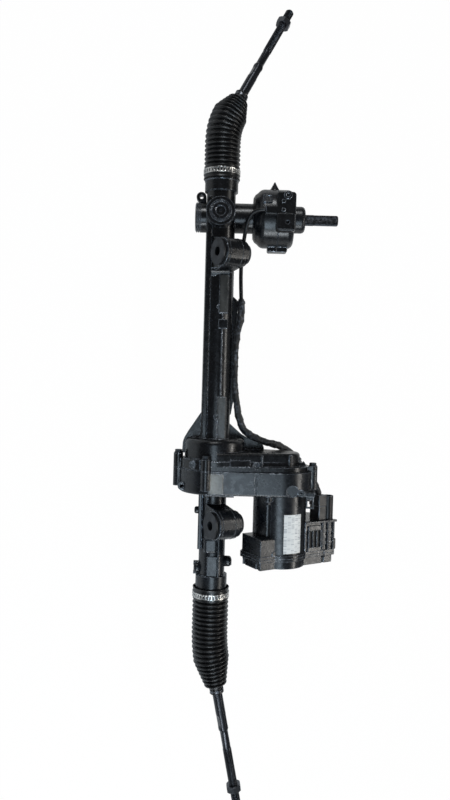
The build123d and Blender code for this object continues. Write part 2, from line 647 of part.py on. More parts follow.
def rack_housing():
    """Upper casting: boot neck, pinion tower, yoke boss, tube with its ribs, bell and dome."""
    body = along_x(TUBE_DIAMETER / 2, TUBE_START, BELL_START + 5)
    body += along_x(COLLAR_DIAMETER / 2, COLLAR_START, TUBE_START)
    body += along_x(NECK_DIAMETER / 2, NECK_START, COLLAR_START)
    body += along_y(TOWER_DIAMETER / 2 - 1, -32, TOWER_END, PINION_X, PINION_W)
    body += along_z(YOKE_BOSS_DIAMETER / 2, PINION_W, YOKE_BOSS_HEIGHT, PINION_X)
    body += along_x(COLLAR_DIAMETER / 2 + 1, COLLAR_START, COLLAR_START + 3)
    body += end_cap_ear()
    for piece in tube_ribs() + housing_webs():
        body += piece
    # bell and dome
    end = SEAM_X - GASKET_THICKNESS / 2
    bell = along_x(BELL_RADIUS - 7, BELL_START, end)
    bell = fillet(bell.edges().sort_by(Axis.X)[0], 8)
    dome = prism_x(casing(BELL_RADIUS - 4, DOME_RADIUS), DOME_START, end)
    dome = fillet(dome.faces().sort_by(Axis.X)[0].outer_wire().edges(), 5)
    dome -= block((DOME_START - 1, end + 1), (-2 * BELL_RADIUS, 4), (-2 * BELL_RADIUS, 2 * BELL_RADIUS))
    body += bell
    body += dome
    body += prism_x(casing(BELL_RADIUS, DOME_RADIUS), BELT_CAVITY - CASING_WALL, end)
    body += prism_x(casing(BELL_RADIUS, DOME_FLANGE_RADIUS), end - FLANGE, end)
    for piece in bolt_bosses(end) + boss_webs(end - FLANGE, end) + bell_pads(end):
        body += piece
    for t in PLUG_HOLES:
        body -= along_z(PLUG_RADIUS, plug_floor(t), 2 * BELL_RADIUS, PLUG_X, t)
    # everything so far leans with the tower; the bush eye stands level
    body = tilted(body) + lug(0)
    body -= lug_bore(0)
    body -= along_x(TUBE_BORE / 2, NECK_START, end)
    body -= along_x(STOP_BORE / 2, NECK_START, PINION_BALL_X + SOCKET_DEPTH + RACK_TRAVEL + STOP_CLEARANCE)
    hollow = along_y(PINION_TIP + 1.2, LOWER_JOURNAL[0], TOWER_END, PINION_X, PINION_W)
    hollow += along_y(LOWER_BEARING_RADIUS, -32, LOWER_JOURNAL[1], PINION_X, PINION_W)
    hollow += along_y(UPPER_BEARING_RADIUS, UPPER_JOURNAL[0], TOWER_END, PINION_X, PINION_W)
    hollow += along_z(YOKE_RADIUS, 0, YOKE_BOSS_HEIGHT, PINION_X)
    hollow += along_z(LOCK_RING_RADIUS, YOKE_BOSS_HEIGHT - 2, YOKE_BOSS_HEIGHT, PINION_X)
    hollow += along_x(NUT_BEARING_DIAMETER / 2, NUT_START, end)
    hollow += prism_x(casing(NUT_PULLEY_RADIUS + BELT_CLEARANCE, MOTOR_PULLEY_RADIUS + 5), BELT_CAVITY, end)
    for hole in bolt_holes(BELL_START, end):
        hollow += hole
    return body - tilted(hollow)


LOWER_BEARING_RADIUS = 15.0
UPPER_BEARING_RADIUS = 20.0
YOKE_RADIUS = 14.0


RECESS = (365.0, 121.5)          # round recess beside the motor's flange, X and t
RECESS_RADIUS = 9.0
RECESS_FLOOR = 48.5


def gear_pads():
    """Machined pad, threaded bosses, harness loop and the lip on the lower casting."""
    pad = softened(block((341, 371), (-7, 14.9), (40, BELL_RADIUS + 2.6)), Axis.X, 0.8)
    eye = along_z(5.5, 25, 49, 367.5, 135.8) - along_z(1.8, 44, 50, 367.5, 135.8)
    tab = softened(block((366.5, GEAR_FLANGE_X), (138, 157), (22, 44)), Axis.Y, 1.5)
    loop = block((370, 392), (144, 156), (38, 42)) - block((378, 389.5), (146.3, 153.7), (37, 43))
    corner = along_z(6.2, -12, 30, 364, -49.5) - along_z(3.0, 15, 31, 364, -49.5)
    lip = along_y(3, -12, 32, GEAR_FLANGE_X - 0.5, BELL_RADIUS - 4)
    return [pad, eye, tab, loop, corner, lip]


def lower_tube_details():
    """Ribs, nipple, fork and knob on the lower tube."""
    tube = LOWER_TUBE_DIAMETER / 2
    rib = softened(block((GEAR_FLANGE_X - 2, BUSH_SPACING + 45), (-tube - 2.2, -tube + 3.8), (-10, tube - 4.8)), Axis.X, 1.5)
    second = softened(block((GEAR_FLANGE_X - 2, BUSH_SPACING + 45), (-12, -8.5), (0, tube + 1.2)), Axis.X, 1.0)
    knob = along_y(3, -tube - 7, -tube + 4, 406, 8)
    nipple = along_y(6.5, 10, 26, 488, 0) + along_y(5, 10, 32, 488, 0)
    prongs = [block((low, low + 4.5), (-tube - 8, -tube + 4), (-6, 6)) for low in (488, 502)]
    return [rib, second, knob, nipple, *prongs]


def gear_housing():
    """Lower casting: the other half of the belt case, the motor flange, and the tube with the second bush eye."""
    start = SEAM_X + GASKET_THICKNESS / 2
    body = prism_x(casing(BELL_RADIUS + 1, MOTOR_DIAMETER / 2 + 8), start, GEAR_FLANGE_X)
    body = fillet(body.faces().sort_by(Axis.X)[-1].outer_wire().edges(), 4)
    for piece in bolt_bosses(BOSS_END, BOSS_END - start) + boss_webs(start, BOSS_END):
        body += piece
    body += along_x(LOWER_TUBE_DIAMETER / 2, GEAR_FLANGE_X, GEAR_COLLAR_X)
    body += along_x(NECK_DIAMETER / 2, GEAR_COLLAR_X, NECK_END)
    for piece in gear_pads() + lower_tube_details():
        body += piece
    body -= block((start + 1, GEAR_FLANGE_X - 4), (63.5, 67), (BELL_RADIUS - 1.4, 2 * BELL_RADIUS))
    body -= along_z(RECESS_RADIUS, RECESS_FLOOR, 2 * BELL_RADIUS, *RECESS)
    body = tilted(body) + lug(BUSH_SPACING)
    for y, z in motor_screw_places():
        body += on_motor(along_x(7, GEAR_FLANGE_X - MOTOR_SCREW_GRIP - 4, GEAR_FLANGE_X, y, z))
    body -= lug_bore(BUSH_SPACING)
    body -= along_x(TUBE_BORE / 2, start, NECK_END)
    body -= along_x(STOP_BORE / 2, MOTOR_BALL_X - SOCKET_DEPTH - RACK_TRAVEL - STOP_CLEARANCE, NECK_END)
    hollow = prism_x(casing(NUT_PULLEY_RADIUS + BELT_CLEARANCE, MOTOR_PULLEY_RADIUS + 5), start, BELT_X + BELT_WIDTH / 2 + 4)
    hollow += along_x(MOTOR_SHAFT_DIAMETER, start, GEAR_FLANGE_X, *MOTOR_CENTRE)
    for hole in bolt_holes(start, BOLT_END):
        hollow += hole
    body -= tilted(hollow)
    for t, w in motor_screw_places():
        body -= on_motor(along_x(MOTOR_SCREW / 2, GEAR_FLANGE_X - MOTOR_SCREW_GRIP, GEAR_FLANGE_X, t, w))
    return body


def housing_gasket():
    low, high = SEAM_X - GASKET_THICKNESS / 2, SEAM_X + GASKET_THICKNESS / 2
    sheet = prism_x(casing(BELL_RADIUS, DOME_FLANGE_RADIUS), low, high)
    for ear in boss_webs(low, high):
        sheet += ear
    sheet -= prism_x(casing(NUT_PULLEY_RADIUS + BELT_CLEARANCE, MOTOR_PULLEY_RADIUS + 5), low, high)
    for hole in bolt_holes(low, high):
        sheet -= hole
    return sheet


def cap_screw(length, diameter=HOUSING_BOLT_DIAMETER):
    """Flanged hexagon screw, its head's seat at X = 0 and its shank towards +X."""
    head = prism_x(RegularPolygon(diameter * 0.92, 6), -diameter * 0.9, 0)
    washer = along_x(diameter * 1.1, -diameter * 0.25, 0)
    return head + washer + along_x(diameter / 2, 0, length)


def housing_bolts():
    seam = SEAM_X - GASKET_THICKNESS / 2
    return [Pos(seam - boss, t, w) * cap_screw(BOLT_END - 1 - seam + boss) for t, w, boss in HOUSING_BOLTS]


# ---- bushes ------------------------------------------------------------------------------------------------
def bush(x):
    """Steel shell pressed in the eye, rubber, and the flanged sleeve that the body bolt clamps."""
    middle = -BUSH_OFFSET
    shell_out, shell_in = BUSH_SHELL_DIAMETER / 2, BUSH_SHELL_DIAMETER / 2 - BUSH_SHELL_WALL
    sleeve = BUSH_SLEEVE_DIAMETER / 2
    flange = BUSH_FLANGE_DIAMETER / 2
    half, eye = BUSH_LENGTH / 2, LUG_LENGTH / 2
    shell = [(middle - eye - 1.5, shell_in), (middle - eye - 1.5, flange), (middle - eye, flange), (middle - eye, shell_out)]
    shell += [(middle + eye, shell_out), (middle + eye, shell_in)]
    rubber = [(middle - half + 2, sleeve), (middle - half + 2, flange - 1), (middle - eye - 1.5, flange - 1)]
    rubber += [(middle - eye - 1.5, shell_in), (middle + eye, shell_in), (middle + half - 2, shell_in - 1), (middle + half - 2, sleeve)]
    tube = [(middle - half, BUSH_BORE / 2), (middle - half, flange), (middle - half + 2, flange), (middle - half + 2, sleeve)]
    tube += [(middle + half - 2, sleeve), (middle + half - 2, shell_in - 1), (middle + half, shell_in - 1), (middle + half, BUSH_BORE / 2)]
    return [turned_y(points, x, BUSH_RISE) for points in (shell, rubber, tube)]


# ---- ball nut, pulleys and belt ----------------------------------------------------------------------------
def toothed_pulley(teeth, radius, bore, centre):
    """Half-round tooth gaps round the rim, and a flange at the far side."""
    rim = Circle(radius)
    gap = BELT_PITCH * 0.28
    for tooth in range(teeth):
        angle = 2 * math.pi * tooth / teeth
        rim -= Pos(radius * math.cos(angle), radius * math.sin(angle)) * Circle(gap)
    low, high = BELT_X - BELT_WIDTH / 2 - 1, BELT_X + BELT_WIDTH / 2 + 1
    wheel = prism_x(rim, low, high) - along_x(bore, low, high)
    return Pos(0, *centre) * wheel


def ball_nut():
    """Nut with the groove of its bearing and a ball race inside."""
    outer = NUT_DIAMETER / 2
    inner = SCREW_DIAMETER / 2 + FIT + 0.4
    end = NUT_START + NUT_LENGTH
    middle = NUT_START + NUT_LENGTH / 2
    race = BALL_DIAMETER / 2 + 0.1
    nut = along_x(outer, NUT_START, end) - along_x(inner, NUT_START, end)
    nut += along_x(outer + 3, NUT_START + 3, BEARING_END - 3) - along_x(outer - 1, NUT_START, end)
    ring = along_x(inner + race * 1.7, middle - race, middle + race)
    return nut - ring


def nut_balls():
    orbit = SCREW_DIAMETER / 2 + FIT / 2 + BALL_DIAMETER / 2
    middle = NUT_START + NUT_LENGTH / 2
    balls = []
    for index in range(BALLS_PER_RING):
        angle = 2 * math.pi * index / BALLS_PER_RING
        balls.append(Pos(middle, orbit * math.cos(angle), orbit * math.sin(angle)) * Sphere(BALL_DIAMETER / 2))
    return balls


def drive_belt():
    low, high = BELT_X - BELT_WIDTH / 2, BELT_X + BELT_WIDTH / 2
    gap = 0.2
    outside = casing(NUT_PULLEY_RADIUS + BELT_THICKNESS, MOTOR_PULLEY_RADIUS + BELT_THICKNESS)
    return prism_x(outside - casing(NUT_PULLEY_RADIUS + gap, MOTOR_PULLEY_RADIUS + gap), low, high)


# ---- motor -------------------------------------------------------------------------------------------------
def on_motor(shape):
    return Pos(0, MOTOR_Y, MOTOR_Z) * shape


def motor_screw_places():
    """(y, z) from the motor's axis."""
    return [on_circle((0, 0), MOTOR_DIAMETER / 2 + 4.5, angle) for angle in (28, 148, 268)]


MOTOR_EAR = 8.0
MOTOR_SCREW = 5.0
MOTOR_SCREW_GRIP = 11.0
MOTOR_BEARING_WIDTH = 8.0
MOTOR_BEARING_RADIUS = 13.0
ROTOR_START = GEAR_FLANGE_X + 16
ROTOR_END = MOTOR_END - 22


def motor_can():
    """Closed can with a pilot flange and three fixing ears."""
    radius = MOTOR_DIAMETER / 2
    inner = radius - MOTOR_WALL
    can = along_x(radius, GEAR_FLANGE_X, MOTOR_END) - along_x(inner, GEAR_FLANGE_X + 6, MOTOR_END - 4)
    for y, z in motor_screw_places():
        can += along_x(7, GEAR_FLANGE_X, GEAR_FLANGE_X + MOTOR_EAR, y, z)
    can += along_x(MOTOR_BEARING_RADIUS + 3, GEAR_FLANGE_X + 5, GEAR_FLANGE_X + 6 + MOTOR_BEARING_WIDTH)
    can += along_x(MOTOR_BEARING_RADIUS + 3, MOTOR_END - 4 - MOTOR_BEARING_WIDTH, MOTOR_END - 3)
    can -= along_x(MOTOR_BEARING_RADIUS, GEAR_FLANGE_X, GEAR_FLANGE_X + 6 + MOTOR_BEARING_WIDTH)
    can -= along_x(MOTOR_BEARING_RADIUS, MOTOR_END - 4 - MOTOR_BEARING_WIDTH, MOTOR_END - 4)
    for y, z in motor_screw_places():
        can -= along_x(MOTOR_SCREW / 2, GEAR_FLANGE_X, GEAR_FLANGE_X + MOTOR_EAR, y, z)
        can -= along_x(MOTOR_SCREW * 1.1 + FIT, GEAR_FLANGE_X + MOTOR_EAR, MOTOR_END - 20, y, z) & along_x(radius + 12, 0, MOTOR_END) - along_x(radius - 1.5, 0, MOTOR_END)
    return on_motor(can)


def motor_screws():
    """Three flanged screws through the can's ears."""
    seat = GEAR_FLANGE_X + MOTOR_EAR
    screw = Rot(0, 0, 180) * cap_screw(MOTOR_EAR + MOTOR_SCREW_GRIP - 1, MOTOR_SCREW)
    return [on_motor(Pos(seat, y, z) * screw) for y, z in motor_screw_places()]


def motor_bearings():
    shaft = MOTOR_SHAFT_DIAMETER / 2
    pair = []
    for start in (GEAR_FLANGE_X + 6, MOTOR_END - 4 - MOTOR_BEARING_WIDTH):
        ring = along_x(MOTOR_BEARING_RADIUS, start, start + MOTOR_BEARING_WIDTH)
        pair.append(on_motor(ring - along_x(shaft + SHAFT_FIT, start, start + MOTOR_BEARING_WIDTH)))
    return pair


def motor_stator():
    """Laminated ring with nine slots."""
    outer, inner = MOTOR_DIAMETER / 2 - MOTOR_WALL, ROTOR_DIAMETER / 2 + 0.8
    ring = Circle(outer) - Circle(inner)
    for slot in range(9):
        ring -= Rot(0, 0, 40 * slot) * Pos((inner + outer) / 2 - 1, 0) * Rectangle((outer - inner) * 0.62, 5)
    return on_motor(prism_x(ring, ROTOR_START, ROTOR_END))


def rotor():
    """Shaft and magnet stack."""
    shaft = along_x(MOTOR_SHAFT_DIAMETER / 2, BELT_X - BELT_WIDTH / 2 - 1, MOTOR_END - 4 - FIT)
    return on_motor(shaft + along_x(ROTOR_DIAMETER / 2, ROTOR_START, ROTOR_END))


# ---- control unit ------------------------------------------------------------------------------------------
CONNECTOR_Y = 153.0
CONNECTOR_Z = 75.0
POWER_Y = 169.0
POWER_Z = 80.0
POWER_RADIUS = 8.6
BLOCK_START = GEAR_FLANGE_X + 44   # top of the connector side of the unit
SHROUD_START = BLOCK_START - 22
PLUG_START = GEAR_FLANGE_X + 4


def ecu_outline(grow=0.0):
    """Unit seen along the rack: a plate with one cut corner at its foot."""
    left, right, low, high = ECU_LEFT - grow, ECU_RIGHT + grow, ECU_BOTTOM - grow, ECU_TOP + grow
    points = [(left, high), (left, low + 18), (left + 22, low), (right - 8, low), (right, low + 8), (right, high - 6), (right - 6, high)]
    return Polygon(*points, align=None)


def flange_outline(grow):
    """The unit's outline with the bulge round the foot of the motor."""
    return ecu_outline(grow) + Pos(MOTOR_Y, MOTOR_Z) * Circle(MOTOR_DIAMETER / 2 + grow)


def ecu_housing():
    """Cast body round the foot of the motor: terminal box on the left, connector block on the right."""
    box_start = ECU_FLANGE_X - TERMINAL_BOX_RISE
    width, depth = TERMINAL_BOX_WIDTH, TERMINAL_BOX_DEPTH
    middle = Pos(ECU_LEFT + width / 2, ECU_TOP - depth / 2)
    body = prism_x(ecu_outline() & middle * Rectangle(width, depth), box_start, ECU_FLANGE_X)
    body = softened(body, Axis.Y, 5.0)
    right_part = ecu_outline() & Pos((ECU_RIGHT + MOTOR_Y) / 2, ECU_TOP - depth / 2 - 9) * Rectangle(ECU_RIGHT - MOTOR_Y, depth + 20)
    body += prism_x(right_part, BLOCK_START, ECU_FLANGE_X)
    for x, y in BOX_BOSSES:
        body += along_z(4, ECU_TOP - 6, ECU_TOP + 1, x, y)
    for low in (432, 442, 452):
        body += block((low, low + 4), (MOTOR_Y + 54, ECU_RIGHT - 4), (ECU_TOP - 3, ECU_TOP + 0.8))
    body += prism_x(flange_outline(2), ECU_FLANGE_X - ECU_FLANGE, ECU_FLANGE_X)
    body -= along_x(MOTOR_DIAMETER / 2, BLOCK_START - 1, MOTOR_END, MOTOR_Y, MOTOR_Z)
    body -= prism_x(middle * Rectangle(width - 3 * ECU_WALL, depth - 3 * ECU_WALL), box_start + 2 * ECU_WALL, ECU_FLANGE_X)
    body -= prism_x(ecu_outline(-ECU_WALL), MOTOR_END, ECU_FLANGE_X)
    for y, z in ECU_SCREWS:
        body -= along_x(ECU_SCREW / 2, ECU_FLANGE_X - ECU_FLANGE, ECU_FLANGE_X, y, z)
    return body


BOX_BOSSES = [(462.7, ECU_LEFT + 25)]
ECU_SCREW = 3.0
ECU_SCREWS = [(ECU_LEFT + 0.5, ECU_TOP - 10), (ECU_LEFT + 0.5, ECU_BOTTOM + 24), (ECU_RIGHT - 24, ECU_TOP + 0.2)]
ECU_SCREWS += [(ECU_RIGHT + 0.2, ECU_TOP - 24), (ECU_RIGHT + 0.2, ECU_BOTTOM + 16), (ECU_RIGHT - 30, ECU_BOTTOM + 0.2)]


def ecu_screws():
    """Small screws that hold the cover to the flange."""
    top = ECU_FLANGE_X + 4
    shape = along_x(ECU_SCREW / 2, ECU_FLANGE_X - ECU_FLANGE, top) + along_x(ECU_SCREW * 0.9, top, top + 2.4)
    return [Pos(0, y, z) * shape for y, z in ECU_SCREWS]


def ecu_cover():
    """Pressed cover on the far side of the flange."""
    cover = prism_x(flange_outline(2), ECU_FLANGE_X, ECU_FLANGE_X + 4)
    cover += prism_x(flange_outline(-1), ECU_FLANGE_X + 4, ECU_END)
    cover -= prism_x(ecu_outline(-3 - ECU_WALL), ECU_FLANGE_X, ECU_END - ECU_WALL)
    for y, z in ECU_SCREWS:
        cover -= along_x(ECU_SCREW / 2, ECU_FLANGE_X, ECU_END, y, z) + along_x(ECU_SCREW * 0.9 + FIT, ECU_FLANGE_X + 4, ECU_END, y, z)
    return cover


def ecu_board():
    return prism_x(ecu_outline(-ECU_WALL - 4), MOTOR_END + FIT, MOTOR_END + FIT + 1.6)


def signal_connector():
    """Rectangular socket that faces back along the rack."""
    half_y, half_z, wall = 7.0, 12.0, 1.8
    shroud = block((SHROUD_START, BLOCK_START), (CONNECTOR_Y - half_y, CONNECTOR_Y + half_y), (CONNECTOR_Z - half_z, CONNECTOR_Z + half_z))
    half_y, half_z = half_y - wall, half_z - wall
    return shroud - block((SHROUD_START, BLOCK_START - 4), (CONNECTOR_Y - half_y, CONNECTOR_Y + half_y), (CONNECTOR_Z - half_z, CONNECTOR_Z + half_z))


def harness_plug():
    """Plug pushed into the rectangular socket, its shoulder against the rim."""
    body = block((PLUG_START, SHROUD_START), (CONNECTOR_Y - 8, CONNECTOR_Y + 7), (CONNECTOR_Z - 13, CONNECTOR_Z + 13))
    return body + block((SHROUD_START, BLOCK_START - 6), (CONNECTOR_Y - 5, CONNECTOR_Y + 5), (CONNECTOR_Z - 10, CONNECTOR_Z + 10))


def power_connector():
    """Round socket beside it with one contact pin."""
    start, floor = GEAR_FLANGE_X + 6, BLOCK_START - 5
    shroud = along_x(POWER_RADIUS, start, BLOCK_START, POWER_Y, POWER_Z)
    shroud -= along_x(POWER_RADIUS - 1.4, start, floor, POWER_Y, POWER_Z)
    return shroud + along_x(1.6, start + 6, floor, POWER_Y, POWER_Z)


LABEL_ANGLES = (73, 94, 115)      # round the motor, from +Y towards +Z


def rating_label():
    """Plain foil on the motor can."""
    radius = MOTOR_DIAMETER / 2
    sheet = along_x(radius + FIT, GEAR_FLANGE_X + 28, MOTOR_END - 3)
    sheet -= along_x(radius + SHAFT_FIT, GEAR_FLANGE_X, MOTOR_END)
    corners = [(2 * radius * math.cos(math.radians(angle)), 2 * radius * math.sin(math.radians(angle))) for angle in LABEL_ANGLES]
    wedge = prism_x(Polygon((0, 0), *corners, align=None), GEAR_FLANGE_X, MOTOR_END)
    return on_motor(sheet & wedge)


# ---- torque sensor -----------------------------------------------------------------------------------------
def at_pinion(shape):
    return Pos(PINION_X, 0, PINION_W) * shape


def sensor_shape(points):
    return at_pinion(Rot(0, 0, 90) * turned(points))


def sensor_housing():
    """Cast drum: cone out from the tower, rim, and the lug under it."""
    rim = SENSOR_DIAMETER / 2
    seat = TOWER_DIAMETER / 2
    outline = [(TOWER_END, 14), (TOWER_END, seat + 8), (TOWER_END + 3, seat + 13), (TOWER_END + 7, rim - 6), (TOWER_END + 10, rim - 3)]
    outline += [(TOWER_END + 13, rim - 1), (TOWER_END + 17, rim), (SENSOR_SPLIT - 0.8, rim), (SENSOR_SPLIT, rim - 0.8)]
    outline += [(SENSOR_SPLIT, rim - 4), (TOWER_END + 6, rim - 8), (TOWER_END + 6, 14)]
    body = sensor_shape(outline)
    body += drum_lug(SENSOR_SPLIT - 15, SENSOR_SPLIT)
    point = at_pinion(Pos(-rim + 2, SENSOR_SPLIT - 5.2, 4) * Rot(0, -90, 0) * Cone(5, 1.2, 14, align=BASE))
    frame = block((-8, 8), (66.5, 80), (rim - 3, rim + 1.6)) - block((-5.5, 5.5), (69, 77.5), (rim + 0.4, rim + 3))
    return body + point + at_pinion(Rot(0, -DRUM_FRAME_ANGLE, 0) * frame)


DRUM_FRAME_ANGLE = 30.7


def drum_lug(low, high):
    """Rounded lug under the drum, shared by its two halves."""
    rim = SENSOR_DIAMETER / 2
    lug_block = block((PINION_X + rim - 4, PINION_X + rim + 7), (SENSOR_SPLIT - 15, SENSOR_SPLIT + 17), (PINION_W - 10, PINION_W + 10))
    corners = lug_block.edges().filter_by(Axis.Z).group_by(Axis.X)[-1]
    return fillet(corners, 3.0) & block((PINION_X, 0), (low, high), (PINION_W - 20, PINION_W + 20))


def sensor_cover():
    rim = SENSOR_DIAMETER / 2
    inner = SENSOR_COLLAR_DIAMETER / 2
    outline = [(SENSOR_SPLIT, rim - 4), (SENSOR_SPLIT, rim - 0.8), (SENSOR_SPLIT + 0.8, rim), (SENSOR_END - 9, rim), (SENSOR_END - 5, rim - 1.2)]
    outline += [(SENSOR_END - 2, rim - 3.6), (SENSOR_END - 0.4, rim - 6.6), (SENSOR_END, rim - 10), (SENSOR_END, inner - 8)]
    outline += [(SENSOR_END - 4, inner - 8), (SENSOR_END - 4, rim - 11), (SENSOR_END - 10, rim - 4)]
    return sensor_shape(outline) + drum_lug(SENSOR_SPLIT, SENSOR_SPLIT + 17)


def sensor_collar():
    """Dust collar that the input shaft turns in."""
    outer = SENSOR_COLLAR_DIAMETER / 2
    bore = INPUT_DIAMETER / 2 + FIT
    outline = [(SENSOR_END, bore), (SENSOR_END, outer), (SENSOR_COLLAR_END - 6, outer), (SENSOR_COLLAR_END - 3, outer - 0.9)]
    outline += [(SENSOR_COLLAR_END - 1, outer - 2.8), (SENSOR_COLLAR_END, outer - 5.5), (SENSOR_COLLAR_END, bore)]
    return sensor_shape(outline)


OUTLET_T = 70.0              # face that the cable comes out of
MODULE_LOW = SENSOR_DIAMETER / 2 + PINION_W - 8


def sensor_module():
    """Moulded sensor unit on the side of the drum, with its cable outlet."""
    low, high = MODULE_LOW, MODULE_LOW + 20
    body = softened(block((PINION_X - 33, PINION_X + 28), (87, 117), (low, high - 4)), Axis.Z, 5.0, False)
    body = fillet(body.edges().group_by(Axis.Z)[-1], 1.5)
    step = softened(block((PINION_X + 1, PINION_X + 27), (86.5, 115.5), (low, high)), Axis.Z, 4.0, False)
    body += fillet(step.edges().group_by(Axis.Z)[-1], 1.5)
    body += softened(block((PINION_X - 12, PINION_X + 3), (OUTLET_T, 90), (low - 2, low + 16)), Axis.Y, 3.0)
    body += along_z(6.2, low, high - 1, PINION_X - 27, 104) - along_z(3.0, high - 2.5, high, PINION_X - 27, 104)
    for x in (-18, -4):
        body += block((PINION_X + x - 2.6, PINION_X + x + 2.6), (95, 100.2), (high - 6, high - 2.8))
    body -= along_z(3.0, high - 4, high + 1, PINION_X + 15, 104)
    drum = sensor_shape([(TOWER_END, 0), (TOWER_END, SENSOR_DIAMETER / 2 + 0.05), (SENSOR_END, SENSOR_DIAMETER / 2 + 0.05), (SENSOR_END, 0)])
    return body - drum


def magnet_ring():
    return ring_y(INPUT_DIAMETER / 2, INPUT_DIAMETER / 2 + 9, TOWER_END + 22, TOWER_END + 34)


# ---- pinion tower pieces -----------------------------------------------------------------------------------
YOKE_PLUG = 9.0


def yoke():
    """Thrust piece with the saddle that the rack's back slides in."""
    piston = along_z(YOKE_RADIUS - 0.1, 3, YOKE_BOSS_HEIGHT - YOKE_PLUG - 6, PINION_X)
    return piston - along_x(RACK_RADIUS + 0.1, PINION_X - 30, PINION_X + 30) - along_z(7, 22, 40, PINION_X)


def yoke_plug():
    """Adjusting plug with its lock ring and the round recess in its middle."""
    low, top = YOKE_BOSS_HEIGHT - YOKE_PLUG, YOKE_BOSS_HEIGHT + 0.6
    plug = along_z(YOKE_RADIUS, low, top, PINION_X) + along_z(LOCK_RING_RADIUS, YOKE_BOSS_HEIGHT - 2, top, PINION_X)
    plug -= along_z(YOKE_RADIUS + 0.6, top - 1.2, top, PINION_X) - along_z(YOKE_RADIUS - 0.6, top - 1.2, top, PINION_X)
    return plug - along_z(7.7, top - 2.4, top, PINION_X) - along_z(1.6, top - 5, top, PINION_X)


def yoke_spring():
    """Disc-spring stack between plug and thrust piece."""
    low, high = 22, YOKE_BOSS_HEIGHT - YOKE_PLUG
    return along_z(6.5, low, high, PINION_X) - along_z(4.0, low, high, PINION_X)


def pinion_end_cap():
    """Cap over the lower bearing, with two grooves round it."""
    outer = TOWER_DIAMETER / 2 - 1
    outline = [(-32, 0), (-32, outer)]
    for groove in (-34, -37):
        outline += [(groove, outer), (groove, outer - 1.4), (groove - 1.3, outer - 1.4), (groove - 1.3, outer)]
    outline += [(-39.5, outer), (-41, outer - 2.5), (-41, 0)]
    notch = along_z(8 + FIT, PINION_W - 12, PINION_W + 12, PINION_X - outer - 7.6, -32)
    return at_pinion(Rot(0, 0, 90) * turned(outline)) - notch


# ---- wiring ------------------------------------------------------------------------------------------------
# points in the tower frame: X along the rack, t across, w up
CABLE_ROUTE = [(-70.3, 71.5, 33.6), (-69.8, 60, 32.5), (-66.5, 51, 29.5), (-57, 44, 25), (-44, 40.5, 19.5), (-27, 37.8, 13)]
CABLE_ROUTE += [(-7, 35.8, 9), (16, 34.4, 6), (41, 34.6, 4), (66.2, 36, 3)]
SLEEVE_ROUTE = [(66.4, 36, 3), (84, 37, 3), (101, 35.4, 3), (117, 32.6, 3), (133, 30.6, 3), (149, 29.4, 3), (181, 29.2, 3)]
SLEEVE_ROUTE += [(197, 29.4, 3), (213, 30.4, 3), (229, 32.4, 2.8), (245, 35.2, 1.8), (261, 38.6, -1), (270, 42, -3.8), (277.5, 47.5, -6)]
SLEEVE_ROUTE += [(285, 56, -8.8), (290.6, 67, -10.5), (295.3, 81, -12.4), (299.6, 95, -18), (302.5, 106, -27), (309, 117.5, -37)]
SLEEVE_ROUTE += [(319, 128.5, -44.5), (331, 139, -48), (344, 150, -45), (356, 160, -37), (367, 166.5, -26), (381, 170.5, -12.5)]


def cord_path(points):
    """Straight runs joined by arcs as large as the runs allow."""
    radii = []
    for before, here, after in zip(points, points[1:], points[2:]):
        first, second = Vector(*here) - Vector(*before), Vector(*after) - Vector(*here)
        turn = math.radians(first.get_angle(second))
        radii.append(0.45 * min(first.length, second.length) / math.tan(turn / 2))
    print("cord radii", [round(radius, 1) for radius in radii])
    return FilletPolyline(*points, radius=radii)


def cord(points, diameter):
    path = cord_path(points)
    start = Plane(origin=path @ 0, z_dir=path % 0)
    return sweep(start * Circle(diameter / 2), path=path)


